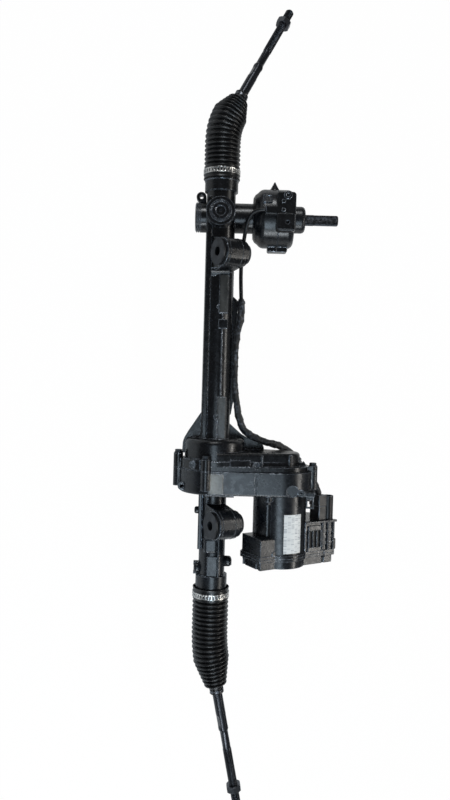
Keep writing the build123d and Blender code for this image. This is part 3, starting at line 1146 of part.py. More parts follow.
def build():
    save("rack_housing", rack_housing())
    save("gear_housing", gear_housing())
    save("housing_gasket", tilted(housing_gasket()))
    save("housing_plugs", *[tilted(plug) for plug in housing_plugs()])
    save("housing_bolts", *[tilted(bolt) for bolt in housing_bolts()])
    for side, x in (("pinion_side", 0), ("motor_side", BUSH_SPACING)):
        shell, rubber, sleeve = bush(x)
        save(f"{side}_bush_shell", shell)
        save(f"{side}_bush_rubber", rubber)
        save(f"{side}_bush_sleeve", sleeve)
    save("rack_bar", rack_bar())
    save("pinion", tilted(pinion()))
    save("torsion_bar", tilted(torsion_bar()))
    save("input_shaft", tilted(input_shaft()))
    save("magnet_ring", tilted(magnet_ring()))
    lower = ring_y(JOURNAL_RADIUS + SHAFT_FIT, LOWER_BEARING_RADIUS, *LOWER_JOURNAL)
    upper = ring_y(JOURNAL_RADIUS + 1.5 + SHAFT_FIT, UPPER_BEARING_RADIUS, *UPPER_JOURNAL)
    save("rack_bush", rack_bush())
    save("pinion_bearings", tilted(lower), tilted(upper))
    save("pinion_end_cap", tilted(pinion_end_cap()))
    save("yoke", tilted(yoke()))
    save("yoke_spring", tilted(yoke_spring()))
    save("yoke_plug", tilted(yoke_plug()))
    save("sensor_housing", tilted(sensor_housing()))
    save("sensor_cover", tilted(sensor_cover()))
    save("sensor_collar", tilted(sensor_collar()))
    save("sensor_module", tilted(sensor_module()))
    save("ball_nut", ball_nut())
    save("nut_balls", *nut_balls())
    save("nut_pulley", tilted(toothed_pulley(NUT_PULLEY_TEETH, NUT_PULLEY_RADIUS, NUT_DIAMETER / 2, (0, 0))))
    save("motor_pulley", tilted(toothed_pulley(MOTOR_PULLEY_TEETH, MOTOR_PULLEY_RADIUS, MOTOR_SHAFT_DIAMETER / 2, MOTOR_CENTRE)))
    save("drive_belt", tilted(drive_belt()))
    bearing = along_x(NUT_BEARING_DIAMETER / 2, NUT_START, BEARING_END) - along_x(NUT_DIAMETER / 2 + 3 + FIT, NUT_START, BEARING_END)
    save("nut_bearing", bearing)
    save("motor_can", motor_can())
    save("motor_bearings", *motor_bearings())
    save("motor_screws", *motor_screws())
    save("motor_stator", motor_stator())
    save("rotor", rotor())
    save("ecu_housing", ecu_housing())
    save("ecu_cover", ecu_cover())
    save("ecu_board", ecu_board())
    save("ecu_screws", *ecu_screws())
    save("signal_connector", signal_connector())
    save("power_connector", power_connector())
    save("rating_label", rating_label())
    sides = [
        ("pinion_side", PINION_BALL_X, -1, PINION_ROD_HEADING, PINION_ROD_DIP, PINION_ROD_LENGTH, PINION_CRESTS, COLLAR_START),
        ("motor_side", MOTOR_BALL_X, 1, MOTOR_ROD_HEADING, MOTOR_ROD_DIP, MOTOR_ROD_LENGTH, MOTOR_CRESTS, GEAR_LIP_X),
    ]
    clamps = []
    for side, ball_x, outward, heading, dip, length, crests, lip_x in sides:
        turn = 0 if outward > 0 else 180
        frame = side_frame(ball_x, heading, dip)
        save(f"{side}_socket", socket(ball_x, turn))
        save(f"{side}_ball_seat", ball_seat(ball_x, turn))
        save(f"{side}_tie_rod", frame * tie_rod(length))
        save(f"{side}_jam_nut", frame * jam_nut(length))
        save(f"{side}_boot_clip", frame * boot_clip(crests))
        straight = abs(ball_x - lip_x)
        save(f"{side}_boot", bellows(straight, crests, BOOT_NECK, BOOT_NECK_LENGTH, ball_x, outward, heading, dip))
        clamps.append(boot_clamp(lip_x + outward * 11))
    save("boot_clamps", *clamps)
    save("harness_plug", harness_plug())
    gland = block((PINION_X - 20, PINION_X + 10), (OUTLET_T, OUTLET_T + 10), (0, 60))
    save("sensor_cable", tilted(cord(CABLE_ROUTE, CABLE_DIAMETER) - gland))
    plug_space = block((PLUG_START, PLUG_START + 20), (0, 250), (-100, 150))
    save("harness_sleeve", tilted(cord(SLEEVE_ROUTE, SLEEVE_DIAMETER)) - plug_space)


build()
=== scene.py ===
"""Electric steering rack, dressed for the render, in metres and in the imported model's own frame."""

import bpy
import numpy as np
from mathutils import Matrix, Vector


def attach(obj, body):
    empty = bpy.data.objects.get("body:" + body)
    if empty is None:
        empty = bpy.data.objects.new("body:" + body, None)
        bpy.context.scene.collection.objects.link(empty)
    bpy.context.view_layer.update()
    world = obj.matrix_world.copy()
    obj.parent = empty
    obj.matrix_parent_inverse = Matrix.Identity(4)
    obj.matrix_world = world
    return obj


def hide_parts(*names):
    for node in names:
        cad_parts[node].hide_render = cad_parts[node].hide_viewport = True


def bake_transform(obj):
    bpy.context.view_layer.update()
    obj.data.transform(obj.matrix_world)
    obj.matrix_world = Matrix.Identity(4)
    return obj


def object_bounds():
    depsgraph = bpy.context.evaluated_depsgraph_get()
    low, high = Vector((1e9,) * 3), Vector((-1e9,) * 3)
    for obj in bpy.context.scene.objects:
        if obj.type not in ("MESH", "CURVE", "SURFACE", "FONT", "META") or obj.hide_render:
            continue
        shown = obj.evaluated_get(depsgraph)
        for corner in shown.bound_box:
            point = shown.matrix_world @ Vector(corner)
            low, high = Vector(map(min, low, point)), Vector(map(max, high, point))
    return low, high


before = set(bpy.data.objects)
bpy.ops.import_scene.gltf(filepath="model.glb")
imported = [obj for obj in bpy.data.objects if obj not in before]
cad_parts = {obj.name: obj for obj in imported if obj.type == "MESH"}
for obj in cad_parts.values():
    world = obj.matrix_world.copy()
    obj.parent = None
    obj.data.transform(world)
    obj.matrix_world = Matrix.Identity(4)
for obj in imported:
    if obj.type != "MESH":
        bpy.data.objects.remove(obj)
cad_box = [[float(value) for value in corner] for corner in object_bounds()]

# ---- Rack axis and tower frame -----------------------------------------------------------------------
# The rack bar lies along X. The pinion tower leans 31 degrees about it, so most places are given as x along
# the rack, t along the tower's shaft and w square to both.
RACK_Y, RACK_Z = 0.005, -0.045
LEAN = np.radians(31.0)
ALONG_TOWER = np.array([0.0, np.cos(LEAN), np.sin(LEAN)])
UP_TOWER = np.array([0.0, -np.sin(LEAN), np.cos(LEAN)])
PINION_X = -0.065


def tower_point(x, t, w):
    """Rack axis point at x, plus t along the tower's shaft and w square to it."""
    return np.array([x, RACK_Y, RACK_Z]) + t * ALONG_TOWER + w * UP_TOWER


# ---- Camera and light --------------------------------------------------------------------------------
# The camera looks straight down the tower's w direction from 1.2 m, rolled so that the rack hangs down the
# picture with a lean of a degree and a half. Lamps are large soft boxes, and the floor and world are white.
VIEW_DISTANCE = 1.2
VIEW_X = 0.1816
VIEW_SIDE = 0.0133
VIEW_ROLL = np.radians(1.56)
picture_right = np.cos(VIEW_ROLL) * ALONG_TOWER + np.sin(VIEW_ROLL) * np.array([-1.0, 0.0, 0.0])
picture_up = np.cos(VIEW_ROLL) * np.array([-1.0, 0.0, 0.0]) - np.sin(VIEW_ROLL) * ALONG_TOWER
camera_data = bpy.data.cameras.new("camera")
camera_data.sensor_width = 36.0
camera_data.lens = 33.75
camera_data.shift_y = -0.0375
camera_data.clip_end = 20.0
camera = bpy.data.objects.new("camera", camera_data)
bpy.context.scene.collection.objects.link(camera)
view_from = tower_point(VIEW_X, 0.0, VIEW_DISTANCE) + VIEW_SIDE * picture_right
rotation = Matrix([[*row] for row in np.stack([picture_right, picture_up, UP_TOWER], axis=1)]).to_4x4()
camera.matrix_world = Matrix.Translation(Vector(view_from)) @ rotation
bpy.context.scene.camera = camera
bpy.context.scene.view_settings.view_transform = "Standard"


def soft_box(name, place, aim, size, power, colour):
    """Area lamp at a place, turned so that its face looks at the aim point."""
    data = bpy.data.lights.new(name, "AREA")
    data.shape = "RECTANGLE"
    data.size, data.size_y = size
    data.energy = power
    data.color = colour
    lamp = bpy.data.objects.new(name, data)
    lamp.location = place
    lamp.rotation_euler = (Vector(aim) - Vector(place)).to_track_quat("-Z", "Y").to_euler()
    bpy.context.scene.collection.objects.link(lamp)


for name, place, aim, size, power, colour in (
        ("front_box", (0.8, 0.1, 1.2), (0.4, 0.04, 0.0), (0.95, 0.4), 6.0, (0.7, 0.86, 1.0)),
        ("right_strip", (0.3, 1.25, 0.45), (0.3, 0.05, 0.0), (1.5, 0.14), 8.0, (1.0, 0.97, 0.92)),
        ("left_strip", (0.2, -1.2, 0.5), (0.2, 0.0, 0.0), (1.4, 0.12), 4.0, (0.88, 0.95, 1.0)),
        ("pinion_end_box", (-1.1, 0.0, 0.8), (0.0, 0.0, 0.0), (0.7, 0.2), 6.0, (0.95, 0.98, 1.0)),
        ("motor_end_box", (1.5, 0.1, 0.7), (0.4, 0.05, 0.0), (0.7, 0.2), 8.0, (0.88, 0.95, 1.0))):
    soft_box(name, tower_point(*place), tower_point(*aim), size, power, colour)

GLOSS_SHARE = 0.06


def background_share(tree):
    """Share of the white background that a ray sees: all for the camera and through glass, part in gloss."""
    seen = tree.nodes.new("ShaderNodeLightPath")
    gloss = tree.nodes.new("ShaderNodeMath")
    gloss.operation = "MULTIPLY_ADD"
    gloss.inputs[1].default_value = GLOSS_SHARE
    through = tree.nodes.new("ShaderNodeMath")
    through.operation = "ADD"
    through.use_clamp = True
    tree.links.new(seen.outputs["Is Glossy Ray"], gloss.inputs[0])
    tree.links.new(seen.outputs["Is Camera Ray"], gloss.inputs[2])
    tree.links.new(gloss.outputs["Value"], through.inputs[0])
    tree.links.new(seen.outputs["Is Transmission Ray"], through.inputs[1])
    return through.outputs["Value"]


world = bpy.data.worlds.new("world")
bpy.context.scene.world = world
world.use_nodes = True
tree = world.node_tree
tree.nodes.clear()
lit = tree.nodes.new("ShaderNodeBackground")
lit.inputs["Color"].default_value = (0.55, 0.6, 0.68, 1.0)
lit.inputs["Strength"].default_value = 0.08
white = tree.nodes.new("ShaderNodeBackground")
white.inputs["Color"].default_value = (1.0, 1.0, 1.0, 1.0)
mix = tree.nodes.new("ShaderNodeMixShader")
out = tree.nodes.new("ShaderNodeOutputWorld")
tree.links.new(background_share(tree), mix.inputs["Fac"])
tree.links.new(lit.outputs["Background"], mix.inputs[1])
tree.links.new(white.outputs["Background"], mix.inputs[2])
tree.links.new(mix.outputs["Shader"], out.inputs["Surface"])


def grid_faces(rows, columns, closed_rows=False, closed_columns=False):
    """Quads between neighbouring points of a rows by columns grid, which may wrap round either way."""
    row = np.arange(rows if closed_rows else rows - 1)
    column = np.arange(columns if closed_columns else columns - 1)
    a, b = np.meshgrid(row, column, indexing="ij")
    c, d = (a + 1) % rows, (b + 1) % columns
    cells = [a * columns + b, a * columns + d, c * columns + d, c * columns + b]
    return np.stack(cells, axis=-1).reshape(-1, 4)


def piece_mesh(name, points, faces, smooth=True):
    """Mesh object at the origin, from an array of points and the faces between them."""
    mesh = bpy.data.meshes.new(name)
    mesh.from_pydata(points.reshape(-1, 3).tolist(), [], np.asarray(faces).tolist())
    mesh.validate()
    mesh.polygons.foreach_set("use_smooth", np.full(len(mesh.polygons), smooth))
    thing = bpy.data.objects.new(name, mesh)
    bpy.context.scene.collection.objects.link(thing)
    return thing


FLOOR_Z = cad_box[0][2] - 0.02
FLOOR_HALF = 6.0
FLOOR_WHITE = 0.985
corners = FLOOR_HALF * np.array([[-1.0, -1.0, 0.0], [1.0, -1.0, 0.0], [1.0, 1.0, 0.0], [-1.0, 1.0, 0.0]])
floor = piece_mesh("floor", corners + [0.0, 0.0, FLOOR_Z], [[0, 1, 2, 3]])
paper = bpy.data.materials.new("floor_paper")
paper.use_nodes = True
tree = paper.node_tree
tree.nodes.clear()
bright = tree.nodes.new("ShaderNodeEmission")
matt = tree.nodes.new("ShaderNodeBsdfDiffuse")
matt.inputs["Color"].default_value = (0.9, 0.9, 0.9, 1.0)
part_bright = tree.nodes.new("ShaderNodeMath")
part_bright.operation = "MULTIPLY"
part_bright.inputs[1].default_value = FLOOR_WHITE
mix = tree.nodes.new("ShaderNodeMixShader")
out = tree.nodes.new("ShaderNodeOutputMaterial")
tree.links.new(background_share(tree), part_bright.inputs[0])
tree.links.new(part_bright.outputs["Value"], mix.inputs["Fac"])
tree.links.new(matt.outputs["BSDF"], mix.inputs[1])
tree.links.new(bright.outputs["Emission"], mix.inputs[2])
tree.links.new(mix.outputs["Shader"], out.inputs["Surface"])
floor.data.materials.append(paper)


# ---- Coated castings ---------------------------------------------------------------------------------
# Housings and covers are die cast aluminium with a thin black coat, and the motor can is coated to match.
# The skin is a grainy satin, worn to bare metal along its edges, whose pale tone also paints edge highlights;
# the pad by the motor is milled bare, and the tube's rib faces carry a painted highlight.
def principled(name, colour, roughness, metallic=0.0, specular=0.5):
    """New material and its shader, with plain values set on the shader's own sockets."""
    material = bpy.data.materials.new(name)
    material.use_nodes = True
    shader = material.node_tree.nodes["Principled BSDF"]
    shader.inputs["Base Color"].default_value = (*colour, 1.0)
    shader.inputs["Roughness"].default_value = roughness
    shader.inputs["Metallic"].default_value = metallic
    shader.inputs["Specular IOR Level"].default_value = specular
    return material, shader


def noise_on(material, scale, detail, stretch=(1.0, 1.0, 1.0)):
    """Noise texture that reads Object coordinates, stretched along the axes."""
    nodes, links = material.node_tree.nodes, material.node_tree.links
    place = nodes.new("ShaderNodeTexCoord")
    mapping = nodes.new("ShaderNodeMapping")
    mapping.inputs["Scale"].default_value = stretch
    noise = nodes.new("ShaderNodeTexNoise")
    noise.inputs["Scale"].default_value = scale
    noise.inputs["Detail"].default_value = detail
    links.new(place.outputs["Object"], mapping.inputs["Vector"])
    links.new(mapping.outputs["Vector"], noise.inputs["Vector"])
    return noise.outputs["Fac"]


def ramp_on(material, source, low, high, low_colour, high_colour):
    """Two-colour ramp between two values of a source."""
    nodes, links = material.node_tree.nodes, material.node_tree.links
    ramp = nodes.new("ShaderNodeValToRGB")
    ramp.color_ramp.elements[0].position = low
    ramp.color_ramp.elements[1].position = high
    ramp.color_ramp.elements[0].color = (*low_colour, 1.0)
    ramp.color_ramp.elements[1].color = (*high_colour, 1.0)
    links.new(source, ramp.inputs["Fac"])
    return ramp.outputs["Color"]


def bump_on(material, source, depth, strength, normal=None):
    """Bump from a source, in metres of depth, on top of another bump if one is given."""
    nodes, links = material.node_tree.nodes, material.node_tree.links
    bump = nodes.new("ShaderNodeBump")
    bump.inputs["Distance"].default_value = depth
    bump.inputs["Strength"].default_value = strength
    links.new(source, bump.inputs["Height"])
    if normal is not None:
        links.new(normal, bump.inputs["Normal"])
    return bump.outputs["Normal"]


def grain(material, shader, scale, depth, strength, detail=4.0, stretch=(1.0, 1.0, 1.0)):
    """Fine bump all over, from noise of one scale."""
    normal = bump_on(material, noise_on(material, scale, detail, stretch), depth, strength)
    material.node_tree.links.new(normal, shader.inputs["Normal"])


def mottle(material, shader, source, low, high, low_colour, high_colour):
    """Base colour that runs between two tones as the source goes from low to high."""
    colour = ramp_on(material, source, low, high, low_colour, high_colour)
    material.node_tree.links.new(colour, shader.inputs["Base Color"])


STILL_FLAT, FULLY_EDGED = 0.99, 0.8


def worn_and_sheen_edges(material, size):
    """Normal that is rounded near sharp edges, and a mask that rises from 0 on flats to 1 on those edges.

    The mask reads the cosine between the rounded normal and the plain one.
    """
    nodes, links = material.node_tree.nodes, material.node_tree.links
    round_edge = nodes.new("ShaderNodeBevel")
    round_edge.samples = 5
    round_edge.inputs["Radius"].default_value = size
    flat = nodes.new("ShaderNodeNewGeometry")
    agree = nodes.new("ShaderNodeVectorMath")
    agree.operation = "DOT_PRODUCT"
    links.new(round_edge.outputs["Normal"], agree.inputs[0])
    links.new(flat.outputs["Normal"], agree.inputs[1])
    edge = nodes.new("ShaderNodeMapRange")
    edge.inputs["From Min"].default_value = STILL_FLAT
    edge.inputs["From Max"].default_value = FULLY_EDGED
    links.new(agree.outputs["Value"], edge.inputs["Value"])
    return round_edge.outputs["Normal"], edge.outputs["Result"]


def mixed(material, share, first, second):
    """Colour between two colours or sockets, by a share."""
    nodes, links = material.node_tree.nodes, material.node_tree.links
    mix = nodes.new("ShaderNodeMix")
    mix.data_type = "RGBA"
    links.new(share, mix.inputs["Factor"])
    for value, socket in ((first, mix.inputs["A"]), (second, mix.inputs["B"])):
        if isinstance(value, tuple):
            socket.default_value = (*value, 1.0)
        else:
            links.new(value, socket)
    return mix.outputs["Result"]


def slab_mask(material, low, high):
    """1 inside a box of the tower frame (x, t, w in metres), 0 outside it."""
    nodes, links = material.node_tree.nodes, material.node_tree.links
    place = nodes.new("ShaderNodeTexCoord")
    turn = nodes.new("ShaderNodeMapping")
    turn.vector_type = "TEXTURE"
    turn.inputs["Location"].default_value = tower_point(0.0, 0.0, 0.0)
    turn.inputs["Rotation"].default_value = (LEAN, 0.0, 0.0)
    links.new(place.outputs["Object"], turn.inputs["Vector"])
    apart = nodes.new("ShaderNodeSeparateXYZ")
    links.new(turn.outputs["Vector"], apart.inputs["Vector"])
    share = None
    for axis, first, last in zip("XYZ", low, high):
        inside = nodes.new("ShaderNodeMath")
        inside.operation = "COMPARE"
        inside.inputs[1].default_value = 0.5 * (first + last)
        inside.inputs[2].default_value = 0.5 * (last - first)
        links.new(apart.outputs[axis], inside.inputs[0])
        if share is None:
            share = inside.outputs["Value"]
            continue
        both = nodes.new("ShaderNodeMath")
        both.operation = "MULTIPLY"
        links.new(share, both.inputs[0])
        links.new(inside.outputs["Value"], both.inputs[1])
        share = both.outputs["Value"]
    return share


EDGE_SIZE = 0.0018
# Pale bluish tone of the worn edges: bare metal, and also painted edge highlights.
EDGE_WEAR_SHEEN_TONE = (0.42, 0.46, 0.52)
# Tone of the pale speckles, which are painted glints of the sandy grain.
GLINT_SPECK_TONE = (0.1, 0.11, 0.13)


def cast_coat(name, dark, light, roughness, sand, specular, milled_and_sheen_places=()):
    """Black coated casting: tone and gloss vary in patches, pale speckles are painted glints of the grain,
    and the sandy skin has worn edges whose pale tone also paints edge highlights.

    Each listed place is a box of the tower frame by its low and high corner, and the tone that shows there:
    bare metal where milled, and a painted highlight on the tube's rib faces.
    """
    material, shader = principled(name, dark, roughness, specular=specular)
    nodes, links = material.node_tree.nodes, material.node_tree.links
    rounded, edge = worn_and_sheen_edges(material, EDGE_SIZE)
    colour = ramp_on(material, noise_on(material, 45.0, 5.0), 0.35, 0.7, dark, light)
    # Pale speckles at random: painted glints of the sandy grain.
    glint_specks = ramp_on(material, noise_on(material, 420.0, 2.0), 0.6, 0.72, (0.0, 0.0, 0.0), (0.2, 0.2, 0.2))
    colour = mixed(material, glint_specks, colour, GLINT_SPECK_TONE)
    edge_breakup = ramp_on(material, noise_on(material, 150.0, 4.0), 0.35, 0.6, (0.15, 0.15, 0.15), (1.0, 1.0, 1.0))
    scuffs_and_sheen = noise_on(material, 90.0, 5.0, (0.25, 1.0, 1.0))
    # Listed places take their own tone: milled bare metal on the pad, a painted highlight on the rib faces.
    for low, high, tone in milled_and_sheen_places:
        faded = ramp_on(material, scuffs_and_sheen, 0.3, 0.65, tuple(0.4 * part for part in tone), tone)
        colour = mixed(material, slab_mask(material, low, high), colour, faded)
    # Edge mask broken up by noise: the edges turn bare metal, and their pale tone also paints edge
    # highlights.
    wear_and_sheen = nodes.new("ShaderNodeMath")
    wear_and_sheen.operation = "MULTIPLY"
    links.new(edge, wear_and_sheen.inputs[0])
    links.new(edge_breakup, wear_and_sheen.inputs[1])
    links.new(mixed(material, wear_and_sheen.outputs["Value"], colour, EDGE_WEAR_SHEEN_TONE), shader.inputs["Base Color"])
    links.new(wear_and_sheen.outputs["Value"], shader.inputs["Metallic"])
    gloss = noise_on(material, 120.0, 3.0)
    shiny, dull = (roughness - 0.05,) * 3, (roughness + 0.08,) * 3
    links.new(ramp_on(material, gloss, 0.3, 0.7, shiny, dull), shader.inputs["Roughness"])
    coarse = bump_on(material, noise_on(material, 300.0, 3.0), 0.00014, sand, rounded)
    fine = bump_on(material, noise_on(material, 1400.0, 2.0), 0.00005, sand, coarse)
    links.new(fine, shader.inputs["Normal"])
    return material


# Painted highlight: the tube's rib faces get a lighter tone as if lit. The milled pad's tone is bare metal.
RIB_SHEEN_TONE = (0.075, 0.074, 0.07)
MILLED_TONE = (0.19, 0.18, 0.155)
RIB_SHEEN_PLACES = [((0.03, 0.0025, 0.0245), (0.095, 0.0150, 0.028), RIB_SHEEN_TONE),
            ((0.22, 0.0015, 0.0245), (0.297, 0.0185, 0.028), RIB_SHEEN_TONE)]
MILLED_PAD = [((0.3405, -0.0075, 0.052), (0.3715, 0.0154, 0.062), MILLED_TONE)]
rack_coat = cast_coat("rack_coat", (0.002, 0.0022, 0.0028), (0.004, 0.0046, 0.006), 0.25, 0.3, 0.45,
                      RIB_SHEEN_PLACES)
gear_coat = cast_coat("gear_coat", (0.003, 0.0038, 0.0052), (0.006, 0.0078, 0.011), 0.27, 0.35, 0.5,
                      MILLED_PAD)
sensor_coat = cast_coat("sensor_coat", (0.003, 0.0035, 0.0045), (0.006, 0.0072, 0.0095), 0.27, 0.35, 0.5)


def dress(material, *nodes):
    """Puts one material on CAD nodes."""
    for node in nodes:
        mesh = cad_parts[node].data
        mesh.materials.clear()
        mesh.materials.append(material)


dress(rack_coat, "rack_housing", "pinion_end_cap", "yoke_plug", "housing_plugs")
dress(gear_coat, "gear_housing", "motor_can", "ecu_housing", "ecu_cover")
dress(sensor_coat, "sensor_housing", "sensor_cover", "sensor_collar")

# ---- Moulded plastic ---------------------------------------------------------------------------------
# Sensor unit, connectors and plug are black glass-filled mouldings, matt with a faint spark-eroded grain.
moulding = cast_coat("black_moulding", (0.0025, 0.0026, 0.003), (0.004, 0.0042, 0.005), 0.33, 0.2, 0.35)
dress(moulding, "sensor_module", "signal_connector", "power_connector", "harness_plug")

# ---- Steel pieces ------------------------------------------------------------------------------------
# Screws, gasket and bush sleeves are black phosphated steel, tie rods and sockets a smoother black steel.
# Bush shells, clips, jam nuts and pulleys are dull bare steel, and what meshes or rolls is ground bright.
LENGTHWISE = (0.2, 1.0, 1.0)
phosphate, shader = principled("phosphate_steel", (0.013, 0.014, 0.016), 0.38, 0.6)
blotches = noise_on(phosphate, 90.0, 4.0)
mottle(phosphate, shader, blotches, 0.35, 0.7, (0.01, 0.011, 0.013), (0.035, 0.038, 0.044))
grain(phosphate, shader, 700.0, 0.0001, 0.4, 3.0)
dress(phosphate, "housing_bolts", "housing_gasket", "motor_screws", "ecu_screws", "pinion_side_bush_sleeve",
      "motor_side_bush_sleeve")
rod_steel, shader = principled("rod_steel", (0.03, 0.032, 0.037), 0.27, 0.75)
blotches = noise_on(rod_steel, 45.0, 2.0)
mottle(rod_steel, shader, blotches, 0.3, 0.75, (0.02, 0.0215, 0.025), (0.04, 0.043, 0.05))
grain(rod_steel, shader, 900.0, 0.00003, 0.3, 2.0)
dress(rod_steel, "pinion_side_socket", "motor_side_socket")
dull_steel, shader = principled("dull_steel", (0.09, 0.095, 0.105), 0.3, 0.9)
grain(dull_steel, shader, 500.0, 0.0001, 0.3, 3.0, LENGTHWISE)
dress(dull_steel, "pinion_side_bush_shell", "motor_side_bush_shell", "pinion_side_boot_clip",
      "motor_side_boot_clip", "nut_pulley", "motor_pulley", "rotor", "magnet_ring", "yoke",
      "pinion_side_jam_nut", "motor_side_jam_nut")
bright_steel, shader = principled("bright_steel", (0.45, 0.46, 0.48), 0.25, 1.0)
grain(bright_steel, shader, 400.0, 0.0001, 0.2, 2.0, LENGTHWISE)
dress(bright_steel, "rack_bar", "pinion", "torsion_bar", "ball_nut", "nut_balls", "nut_bearing",
      "motor_bearings", "pinion_bearings", "yoke_spring")

# ---- Rubber, nylon, copper and board -----------------------------------------------------------------
# Bush rubber and belt are matt black rubber, guide ring and ball seats natural nylon. The stator is wound
# with enamelled copper wire, and the control unit's circuit board is green.
rubber, shader = principled("bush_rubber", (0.004, 0.004, 0.0045), 0.5, specular=0.25)
grain(rubber, shader, 600.0, 0.00012, 0.5, 3.0)
dress(rubber, "pinion_side_bush_rubber", "motor_side_bush_rubber", "drive_belt")
nylon, shader = principled("nylon", (0.6, 0.59, 0.54), 0.45)
grain(nylon, shader, 500.0, 0.0001, 0.3)
dress(nylon, "rack_bush", "pinion_side_ball_seat", "motor_side_ball_seat")
copper, shader = principled("winding_copper", (0.45, 0.2, 0.09), 0.35, 0.9)
grain(copper, shader, 300.0, 0.0003, 0.5, 2.0, (0.1, 1.0, 1.0))
dress(copper, "motor_stator")
board_green, shader = principled("board_green", (0.015, 0.09, 0.035), 0.35)
grain(board_green, shader, 900.0, 0.0001, 0.4)
dress(board_green, "ecu_board")

# ---- Rating label ------------------------------------------------------------------------------------
# A white foil sticker on the motor can. Plain grey bars of one height stand for its print, and it carries no
# lettering, code or mark.
foil, shader = principled("label_foil", (0.72, 0.72, 0.7), 0.45)
ruled = foil.node_tree.nodes.new("ShaderNodeTexBrick")
ruled.offset = 0.0
for socket, value in (("Color1", (0.74, 0.74, 0.72, 1.0)), ("Color2", (0.2, 0.22, 0.25, 1.0)),
                      ("Mortar", (0.76, 0.76, 0.74, 1.0)), ("Mortar Size", 0.0005), ("Bias", -0.25),
                      ("Brick Width", 0.0023), ("Row Height", 0.0062), ("Scale", 1.0)):
    ruled.inputs[socket].default_value = value
place = foil.node_tree.nodes.new("ShaderNodeTexCoord")
foil.node_tree.links.new(place.outputs["Object"], ruled.inputs["Vector"])
foil.node_tree.links.new(ruled.outputs["Color"], shader.inputs["Base Color"])
grain(foil, shader, 200.0, 0.0001, 0.2)
dress(foil, "rating_label")

# ---- Bellows boots -----------------------------------------------------------------------------------
# Blow-moulded rubber bellows from the housing's neck to the tie rod. A smooth cuff sits under the band, the
# folds keep their size past the ball, then taper to a small neck that grips the rod.
FOLD_PITCH = 0.007
FOLD_DEPTH = 0.0046
CREST_RADIUS = 0.0288
CUFF_RADIUS = 0.0285
CUFF_WIDTH = 0.0175
ROD_NECK_RADIUS = 0.0103
ROD_NECK_LENGTH = 0.012
NECK_BLEND = 0.003
BEND_REACH = 0.034
BOOT_WALL = 0.0016
AROUND_BOOT = 96


def ring_surface(path, tangent, flat_normal, radius, around):
    """Rings carried along a path that bends in one plane.

    point = path + radius (cos a · side + sin a · flat_normal), where side = flat_normal × tangent.
    """
    side = np.cross(flat_normal, tangent)
    angle = np.linspace(0.0, 2 * np.pi, around, endpoint=False)
    spokes = np.cos(angle)[None, :, None] * side[:, None, :] + np.sin(angle)[None, :, None] * flat_normal
    return path[:, None, :] + radius[:, None, None] * spokes


def bent_path(ball, outward, rod, along):
    """Straight line to the ball, a smooth turn round it and a straight line out along the rod.

    turn(s) = smooth step over the bend, and path = ball + running sum of
    (cos turn · outward + sin turn · across), moved so that its far end lies on the rod's line.
    """
    across = rod - outward * (rod @ outward)
    across /= np.linalg.norm(across)
    bend = np.arccos(rod @ outward)
    step = np.clip((along + BEND_REACH) / (2 * BEND_REACH), 0.0, 1.0)
    turn = bend * step * step * (3 - 2 * step)
    tangent = np.cos(turn)[:, None] * outward + np.sin(turn)[:, None] * across
    middle = 0.5 * (tangent[1:] + tangent[:-1]) * np.diff(along)[:, None]
    path = np.concatenate([[along[0] * outward], along[0] * outward + np.cumsum(middle, axis=0)])
    past = path[-1] - rod * (path[-1] @ rod)
    path -= outward * (past @ across) / (across @ across - (rod @ across) ** 2)
    return ball + path, tangent, np.cross(outward, across)


def fold_profile(along, lip, crests, taper_start, end_crest):
    """Radius and fold height of the boot at each distance past the ball.

    Crest line = straight, then a taper in proportion to the distance; fold = depth × (half cosine)^0.8.
    Cuff and rod neck are plain cylinders, each blended in over 3 mm and ending in a small bead.
    """
    end = crests * FOLD_PITCH
    taper = np.clip((along - taper_start) / (end - taper_start), 0.0, 1.0)
    crest = CREST_RADIUS + (end_crest - CREST_RADIUS) * taper
    fold = (0.5 - 0.5 * np.cos(2 * np.pi * along / FOLD_PITCH)) ** 0.8
    radius = crest - FOLD_DEPTH * (1.0 - fold)
    cuff = np.clip((lip + CUFF_WIDTH + NECK_BLEND - along) / NECK_BLEND, 0.0, 1.0)
    neck = np.clip((along - end) / NECK_BLEND, 0.0, 1.0)
    radius = radius * (1 - cuff) + CUFF_RADIUS * cuff
    radius = radius * (1 - neck) + ROD_NECK_RADIUS * neck
    lip_bead = 0.0006 * np.exp(-(((along - lip) / 0.0016) ** 2))
    neck_bead = 0.0008 * np.exp(-(((along - end - ROD_NECK_LENGTH) / 0.0012) ** 2))
    return radius + lip_bead + neck_bead, fold * (1 - cuff) * (1 - neck)


boot_rubber, shader = principled("boot_rubber", (0.008, 0.008, 0.009), 0.33)
links = boot_rubber.node_tree.links
# The fold crests are painted lighter in noisy patches, as a painted highlight along each crest.
crest = boot_rubber.node_tree.nodes.new("ShaderNodeAttribute")
crest.attribute_name = "fold"
crest_sheen = boot_rubber.node_tree.nodes.new("ShaderNodeMath")
crest_sheen.operation = "MULTIPLY"
links.new(crest.outputs["Fac"], crest_sheen.inputs[0])
links.new(noise_on(boot_rubber, 60.0, 4.0), crest_sheen.inputs[1])
mottle(boot_rubber, shader, crest_sheen.outputs["Value"], 0.25, 0.75, (0.004, 0.004, 0.0045), (0.012, 0.012, 0.013))
grain(boot_rubber, shader, 420.0, 0.0001, 0.35, 3.0)

PINION_BALL = np.array([-0.207, RACK_Y, RACK_Z])
MOTOR_BALL = np.array([0.625, RACK_Y, RACK_Z])


def heading(turn, dip):
    """Unit vector along a tie rod: turned from +X about Z, then dipped."""
    turn, dip = np.radians(turn), np.radians(dip)
    return np.array([np.cos(turn) * np.cos(dip), np.sin(turn) * np.cos(dip), -np.sin(dip)])


PINION_ROD = heading(149.4, 2.63)
MOTOR_ROD = heading(11.7, -2.09)
PINION_LIP = -0.085
MOTOR_LIP = -0.098


